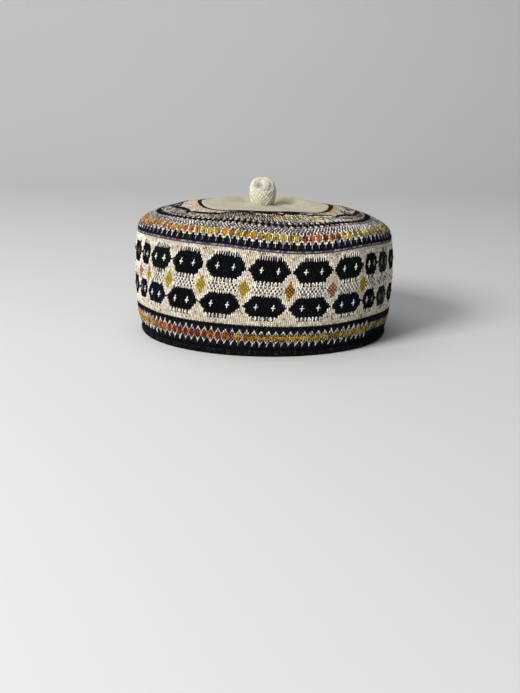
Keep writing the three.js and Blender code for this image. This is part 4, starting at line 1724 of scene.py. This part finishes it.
@dataclass
class RimEdging:
    """The black overcast edge on which the cap stands."""

    shop: Shop
    height: float = 5.0
    thickness: float = 3.8
    wraps: int = 400
    fibres: int = 1000
    around: int = 480
    loop: tuple[Triple, ...] = (
        (58.0, 2.2, 5.6), (60.5, 3.0, 7.2), (63.0, 3.6, 8.9), (65.5, 4.0, 10.0), (67.5, 4.4, 10.0),
        (68.8, 4.6, 8.6), (68.9, 4.4, 6.8), (67.8, 3.8, 5.6), (66.0, 3.0, 5.0), (64.0, 2.2, 4.6),
    )

    def section(self, share: Array) -> tuple[Array, Array]:
        """The edge's section, flat underneath.

        Args:
            share: How far round the section, from 0 at the inner foot past the outside.

        Returns:
            Millimetres out of the wall's middle, and millimetres up.
        """
        angle = 2.0 * np.pi * np.asarray(share) - 0.75 * np.pi
        out = 0.5 * self.thickness * np.cos(angle)
        up = self.height * (0.5 + 0.62 * np.sin(angle))
        return out, np.clip(up, 0.0, self.height)

    def ring(self, angle: Array, out: Array, up: Array) -> Array:
        """Points at a distance from the middle of the wall's foot."""
        form = self.shop.form
        reach = form.band_sections[0].reach
        way = np.stack([np.cos(angle) / form.half_breadth, np.sin(angle) / form.half_length], axis=-1)
        way /= np.linalg.norm(way, axis=-1, keepdims=True)
        foot = np.stack([form.half_breadth * np.cos(angle), form.half_length * np.sin(angle)], axis=-1) * reach
        flat = foot + way * (out - form.cloth / 2.0)[..., None]
        return np.concatenate([flat, (up + 0.0 * angle)[..., None]], axis=-1)

    def build(self) -> None:
        """Makes the edge, its wraps and its loose fibres."""
        around = self.around
        angle = even_turns(around)
        rows = []
        for share in np.arange(18) / 18:
            out, up = self.section(share)
            rough = 0.3 * np.sin(61.0 * angle + 9.0 * share) + 0.26 * np.sin(97.0 * angle + 17.0 * share)
            rough = rough * (0.6 + 0.4 * np.sin(13.0 * angle + 4.0 * share))
            held = min(1.0, float(up) / 1.5)
            rows.append(self.ring(angle, out + rough * held, np.clip(up + 0.5 * rough * held, 0.0, self.height)))
        mesh = mesh_of("rim_edging_cloth", np.concatenate(rows), tube_faces(len(rows), around))
        colour_points(mesh, np.broadcast_to(BLACK.value, (len(rows) * around, 3)))
        mesh.materials.append(self.shop.materials.thread)
        piece = add_piece("rim_edging_cloth", mesh)
        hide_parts("rim_edging")
        for work in (self.wrap_work(), self.fibre_work()):
            work.sew(self.shop.tree, self.shop.materials.thread)

    def wrap_work(self) -> Stitchwork:
        """Thread wound over the edge, as three short stretches to each wrap outside and one inside."""
        work = Stitchwork("rim_wrap_stitches", Stitch.ROUND, 0.3, 0.16, 0.7)
        angle = even_turns(self.wraps, 0.5)
        for start, end in ((0.24, 0.42), (0.4, 0.58), (0.55, 0.72), (0.76, 0.94)):
            points = []
            for share in (start, end):
                out, up = self.section(share)
                lean = 0.012 * (share - 0.4)
                points.append(self.ring(angle + lean, out + 0.0 * angle, np.maximum(up, 0.5) + 0.0 * angle))
            out, up = self.section((start + end) / 2.0)
            middle = self.ring(angle, out + 0.0 * angle, up + 0.0 * angle)
            core = self.ring(angle, 0.0 * angle, self.height / 2.0 + 0.0 * angle)
            # The grey-black among the blacks is a painted highlight on the wraps.
            colours = self.shop.pick((*BLACKS, SOOT), self.wraps, (0.5, 0.15, 0.1, 0.25))
            work.lay(*points, unit(middle - core), 1.45, 0.95, colours)
        return work

    def fibre_work(self) -> Stitchwork:
        """Loose fibres that stand off the edge."""
        work = Stitchwork("rim_fibre_stitches", Stitch.PLAIN, turn_variation=0.4, shade_variation=0.5)
        count = self.fibres
        draw = self.shop.random.random
        angle = draw(count) * 2.0 * np.pi
        out, up = self.section(0.3 + 0.32 * draw(count))
        start = self.ring(angle, out, np.maximum(up, 0.5))
        way = np.stack([np.cos(angle), np.sin(angle), 0.9 * draw(count) - 0.35], axis=1)
        side = np.stack([-np.sin(angle), np.cos(angle), 0.0 * angle], axis=1) * (draw(count) - 0.5)[:, None] * 2.4
        end = start + (0.55 * way + 0.6 * side) * (0.6 + 1.3 * draw(count))[:, None]
        end[:, 2] = np.maximum(end[:, 2], 0.15)
        normal = np.cross(end - start, np.array([0.0, 0.0, 1.0]))
        normal /= np.linalg.norm(normal, axis=1, keepdims=True) + 1e-9
        work.lay(start, end, normal, 0.16, 0.16, self.shop.pick(BLACKS, count))
        turn, out, up = np.radians([row[0] for row in self.loop]), *np.array(self.loop)[:, 1:].T
        loop = self.ring(turn, out, up)
        normal = np.tile([0.0, 0.0, 1.0], (len(loop) - 1, 1))
        work.lay(loop[:-1], loop[1:], normal, 0.8, 0.8, BLACK.value)
        return work


@dataclass
class CrownPanel:
    """The plain round panel on top, drawn up a little round the knob."""

    shop: Shop
    thickness: float = 1.8
    puff: float = 0.9
    dish: float = 2.1
    edge_gap: float = 1.3
    knob_y: float = -2.6
    around: int = 168
    rings: int = 46
    swells: tuple[Fold, ...] = listed(Fold, (152, 36, 0.7, 0.28, -4.6), (214, 36, 0.72, 0.28, -3.4))

    def lift(self, point: Array, share: float) -> Array:
        """How far the cloth swells and puckers over its own plane.

        Args:
            point: The points of one ring of the panel.
            share: The ring's share of the panel's reach.

        Returns:
            Millimetres up for each point.
        """
        edge = 1.0 - share**12
        x, y = point[:, 0], point[:, 1] - self.knob_y
        away = np.hypot(x, y)
        turn = np.arctan2(y, x)
        degrees = np.degrees(np.arctan2(point[:, 1], point[:, 0]))
        swells = -sum(swell.at(degrees, share) for swell in self.swells)
        pleats = 0.22 * np.sin(8.0 * turn + 0.7 * np.sin(2.0 * turn)) * np.exp(-(((away - 15.0) / 9.0) ** 2))
        right, front = -x / (away + 1e-6), -y / (away + 1e-6)
        tent = 1.5 * np.exp(-((np.maximum(away - 8.0, 0.0) / 9.0) ** 2)) * np.clip(right, 0.0, 1.0)
        fore = 1.3 * np.exp(-((np.maximum(away - 7.0, 0.0) / 5.0) ** 2)) * np.clip(0.3 + front, 0.0, 1.0)
        slack = 0.2 * np.sin(0.11 * x + 0.07 * y + 1.0) + 0.14 * np.sin(0.21 * y - 0.08 * x)
        slack = slack + 0.08 * np.sin(0.4 * x)
        gathers = 0.12 * np.sin(44.0 * turn + 2.0 * np.sin(3.0 * turn)) * bump(np.array(share - 0.93), 0.08)
        sunk = self.dish * bump(np.array(share**1.6), 1.0)
        return edge * (self.puff + swells + (tent + fore) + pleats + slack + gathers) - sunk

    def build(self) -> None:
        """Makes the panel."""
        angle = even_turns(self.around)
        crown = self.shop.crown
        length = crown.length(angle)
        rim, normal = crown.at(angle, length)
        inner, _ = crown.at(angle, length - 1.0)
        edge = rim + unit(rim - inner) * self.edge_gap
        middle = np.array([0.0, 0.0, self.shop.form.crown_level])
        shares = np.linspace(0.03, 1.0, self.rings)
        top, under = [], []
        for share in shares:
            flat = middle + (edge - middle) * share
            out = normal * share + np.array([0.0, 0.0, 1.0]) * (1.0 - share)
            lift = self.lift(flat, share)[:, None]
            top.append(flat + out * lift)
            under.append(flat + out * (0.4 * lift - self.thickness))
        mesh = capped_tube("crown_panel_cloth", [*under, *top[::-1]])
        mesh.materials.append(self.shop.materials.panel)
        piece = add_piece("crown_panel_cloth", mesh)
        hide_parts("crown_panel")


@dataclass
class Knob:
    """The knob: cloth rolled into a ball on a narrow foot, bound with yarn and open in a hollow near its top."""

    shop: Shop
    height: float = 22.0
    radius: float = 10.0
    middle_y: float = -2.0
    lean: float = 0.8
    foot_gap: float = -1.8
    around: int = 176
    rings: int = 110
    bead: float = 1.15
    sections: tuple[tuple[float, float], ...] = (
        (0.0, 0.46), (0.045, 0.61), (0.11, 0.73), (0.21, 0.84), (0.34, 0.93), (0.5, 1.0),
        (0.64, 1.0), (0.76, 0.935), (0.86, 0.8), (0.94, 0.57), (0.985, 0.3), (1.0, 0.02),
    )
    ring_way: Triple = (0.9, -0.02, 0.43)
    hollow_way: Triple = (0.84, -0.32, 0.46)
    lobe_way: Triple = (0.76, 0.3, 0.6)

    def skin(self) -> SurfacePatch:
        """The plain ball, in place."""
        angle = even_turns(self.around)
        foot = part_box("crown_knob")[0][2] / MM + self.foot_gap
        rows = []
        for up, reach in self.sections:
            x = self.radius * reach * np.cos(angle)
            y = self.radius * reach * np.sin(angle) + self.middle_y - self.lean * up**2
            rows.append(np.stack([x, y, np.full(self.around, foot + up * self.height)], axis=1))
        return SurfacePatch(np.stack(rows, axis=1), steps=201)

    def middle(self) -> Array:
        """The middle of the ball."""
        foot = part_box("crown_knob")[0][2] / MM
        return np.array([0.0, self.middle_y - 0.4 * self.lean, foot + 0.54 * self.height])

    @staticmethod
    def _from(way: Array, aim: Triple) -> Array:
        """The angle between directions and an aim."""
        unit = np.array(aim) / np.linalg.norm(aim)
        return np.arccos(np.clip(way @ unit, -1.0, 1.0))

    def creases(self, point: Array) -> Array:
        """How far the cloth stands out of the plain ball.

        Args:
            point: Points of the plain ball.

        Returns:
            Millimetres out for each point.
        """
        way = unit(point - self.middle())
        ring = self._from(way, self.ring_way)
        hollow = self._from(way, self.hollow_way)
        lobe = self._from(way, self.lobe_way)
        inside = np.clip((0.86 - ring) / 0.16, 0.0, 1.0) * np.clip((lobe - 0.3) / 0.35, 0.0, 1.0)
        upper = np.clip(0.6 + 2.2 * way[:, 2], 0.0, 1.0)
        out = 0.95 * bump(ring - 0.98, 0.24) * upper
        out -= 1.1 * inside * np.clip(0.35 + 1.5 * way[:, 2], 0.0, 1.0)
        out -= 2.2 * bump(hollow, 0.46) ** 0.8
        out += 1.1 * bump(lobe, 0.72) ** 0.6
        slit = bump(way[:, 1] + 0.04 + 0.3 * (way[:, 2] - 0.4), 0.1) * bump(way[:, 2] - 0.42, 0.4)
        out -= 1.3 * slit * (way[:, 0] > 0.0)
        out -= 0.3 * bump(lobe - 0.66, 0.1) * (way[:, 2] > -0.1)
        calm = np.clip(np.minimum(lobe - 0.42, hollow - 0.3) / 0.25, 0.0, 1.0)
        turn = np.arctan2(way[:, 1], way[:, 0])
        across, climb = 10.0 * turn, point[:, 2]
        one = np.abs(np.sin((0.78 * across + 1.25 * climb) + 0.5 * np.sin(0.5 * across)))
        other = np.abs(np.sin((1.1 * across - 0.95 * climb) + 0.6 * np.sin(0.4 * climb)))
        low = np.clip((0.34 - way[:, 2]) / 0.3, 0.0, 1.0)
        out += 0.8 * calm * low * (np.maximum(one, other) - 0.6)
        out += 0.26 * calm * (1.0 - low) * (np.abs(np.sin(1.3 * across + 0.6 * climb)) - 0.5)
        return out

    def build(self) -> None:
        """Makes the ball, with painted shade in its creases, and the bright chain of stitches on it."""
        patch = self.skin()
        angle = even_turns(self.around)
        length = patch.length(angle)
        rows, depths = [], []
        for share in np.linspace(0.0, 1.0, self.rings):
            point, normal = patch.at(angle, share * length)
            fade = min(1.0, share * 12.0)
            creases = self.creases(point)
            rows.append(point + normal * (fade * creases)[:, None])
            depths.append(creases)
        mesh = capped_tube("knob_cloth", rows)
        # Painted shade: the colour is darkened in the creases and hollows and a little lighter on the ridges,
        # through the shade attribute.
        deep = np.clip(0.97 + 0.22 * np.concatenate([*depths, [0.0, 0.0]]), 0.5, 1.04)
        mesh.attributes.new("shade", "FLOAT", "POINT").data.foreach_set("value", deep)
        mesh.materials.append(self.shop.materials.knob)
        piece = add_piece("knob_cloth", mesh)
        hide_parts("crown_knob")
        self.yarn(patch).sew(self.shop.tree, self.shop.materials.thread)

    def yarn(self, patch: SurfacePatch) -> Stitchwork:
        """Yarn bound round the ball: bead-like chains down its left and slanting strands low down."""
        work = Stitchwork("knob_yarn_stitches", Stitch.ROUND, 0.12, 0.12, 0.1)
        length = float(patch.length(np.array([0.0]))[0])
        chains = (
            (-0.98, -0.42, 0.52, 0.1, 13, 1.0),
            (-0.72, -0.2, 0.5, 0.1, 12, 0.85),
            (0.05, 0.78, 0.47, 0.2, 11, 0.8),
            (-0.25, 0.62, 0.42, 0.12, 12, 0.75),
            (0.95, 0.25, 0.42, 0.1, 10, 0.7),
        )
        for start, end, high, low, beads, size in chains:
            for turn in (0.0, 2.1, 4.2):
                steps = (np.arange(beads) + 0.5) / beads
                angle = turn + start + (end - start) * steps
                distance = length * (high + (low - high) * steps)
                point, normal = patch.at(angle, distance)
                ahead, _ = patch.at(angle + 0.09 * np.sign(end - start), distance - 0.7)
                half = 0.8 * size * self.bead
                reach = unit(ahead - point) * half
                point = point + normal * (self.creases(point) + 0.12)[:, None]
                colours = self.shop.pick((WHITE, CREAM), beads, (0.65, 0.35))
                work.lay(point - reach, point + reach, normal, size * self.bead, half, colours)
        return work


@dataclass(frozen=True)
class Lamp:
    """A soft square light that faces the cap: its place and its side in metres, and its power in watts."""

    name: str
    place: Triple
    size: float
    power: float
    tint: Triple

    def hang(self) -> None:
        """Puts it into the scene."""
        data = bpy.data.lights.new(self.name, "AREA")
        data.size = self.size
        data.energy = self.power
        data.color = self.tint
        lamp = bpy.data.objects.new(self.name, data)
        lamp.location = self.place
        aim = Vector((0.0, 0.0, 0.06)) - Vector(self.place)
        lamp.rotation_euler = aim.to_track_quat("-Z", "Y").to_euler()
        bpy.context.scene.collection.objects.link(lamp)


@dataclass(frozen=True)
class Studio:
    """The camera, the pale floor and the soft light. The sheet's sizes are in metres."""

    focal_pixels: float = 1000.0
    long_side_pixels: float = 693.0
    camera_away: float = 782.0
    camera_height: float = 208.0
    camera_y: float = -2.23
    pitch: float = 15.96
    roll: float = 0.0175
    room_light: float = 0.26
    sheet_front: float = 2.4
    sheet_bend: float = -0.9
    sheet_radius: float = 0.8
    sheet_top: float = 3.0
    sheet_half_width: float = 2.6
    sheet_steps: int = 12
    lamps: tuple[Lamp, ...] = listed(
        Lamp,
        ("key", (1.15, -1.15, 1.15), 0.7, 44.0, (1.0, 0.985, 0.955)),
        ("fill", (1.7, -0.8, 0.5), 1.0, 5.0, (0.94, 0.97, 1.0)),
        ("top", (-0.3, -0.5, 1.8), 1.4, 9.0, (0.97, 0.985, 1.0)),
    )

    def camera(self) -> None:
        """Stands the camera at the wearer's left."""
        data = bpy.data.cameras.new("camera")
        data.sensor_width = 36.0
        data.sensor_fit = "AUTO"
        data.lens = self.focal_pixels / self.long_side_pixels * data.sensor_width
        camera = bpy.data.objects.new("camera", data)
        pitch = math.radians(self.pitch)
        ahead = Vector((-math.cos(pitch), 0.0, -math.sin(pitch)))
        up = Vector((-math.sin(pitch), 0.0, math.cos(pitch)))
        right = Vector((0.0, 1.0, 0.0))
        turned_right = right * math.cos(self.roll) + up * math.sin(self.roll)
        turned_up = up * math.cos(self.roll) - right * math.sin(self.roll)
        turn = Matrix((turned_right, turned_up, -ahead)).transposed().to_4x4()
        place = Vector((self.camera_away, self.camera_y, self.camera_height)) * MM
        camera.matrix_world = Matrix.Translation(place) @ turn
        bpy.context.scene.collection.objects.link(camera)
        bpy.context.scene.camera = camera

    def backdrop(self) -> None:
        """A pale sheet that lies on the floor and curves up far behind the cap."""
        bend, radius = self.sheet_bend, self.sheet_radius
        profile = [(self.sheet_front, 0.0), (bend, 0.0)]
        for step in range(self.sheet_steps):
            angle = math.pi / 2.0 * (step + 1) / self.sheet_steps
            profile.append((bend - radius * math.sin(angle), radius * (1.0 - math.cos(angle))))
        profile.append((bend - radius, self.sheet_top))
        points = [(x, side * self.sheet_half_width, z) for x, z in profile for side in (-1.0, 1.0)]
        faces = [(2 * k, 2 * k + 1, 2 * k + 3, 2 * k + 2) for k in range(len(profile) - 1)]
        mesh = bpy.data.meshes.new("backdrop")
        mesh.from_pydata(points, [], faces)
        mesh.shade_smooth()
        finish = Finish("pale_paper")
        finish.set(Roughness=0.9, Specular_IOR_Level=0.1)
        tone = finish.scaled((0.59, 0.59, 0.585), finish.ranged(finish.noise(1.2, 2.0), 0.98, 1.02))
        mesh.materials.append(finish.use(tone, finish.noise(300.0), 0.05, 0.1))
        backdrop = bpy.data.objects.new("backdrop", mesh)
        bpy.context.scene.collection.objects.link(backdrop)

    def build(self) -> None:
        """Sets all of it up."""
        self.camera()
        self.backdrop()
        for lamp in self.lamps:
            lamp.hang()
        world = bpy.data.worlds.new("room")
        world.use_nodes = True
        air = world.node_tree.nodes["Background"].inputs
        air["Color"].default_value = (0.9, 0.95, 1.0, 1.0)
        air["Strength"].default_value = self.room_light
        bpy.context.scene.view_settings.view_transform = "Standard"
        bpy.context.scene.world = world


def main() -> None:
    """Builds the stage and the cap, piece by piece."""
    logging.basicConfig(level=logging.INFO, format="%(name)s: %(message)s")
    Studio().build()
    form = CapForm()
    shop = Shop(
        form=form,
        widest=WidestLine(form),
        band=form.band(),
        crown=form.crown(),
        tree=stitch_tree(),
        materials=Materials.made(),
        random=np.random.default_rng(SEED),
    )
    for part in (RimEdging(shop), SideBand(shop), Crown(shop), CrownPanel(shop), Knob(shop)):
        LOG.info("building %s", type(part).__name__)
        part.build()


if __name__ == "__main__":
    main()
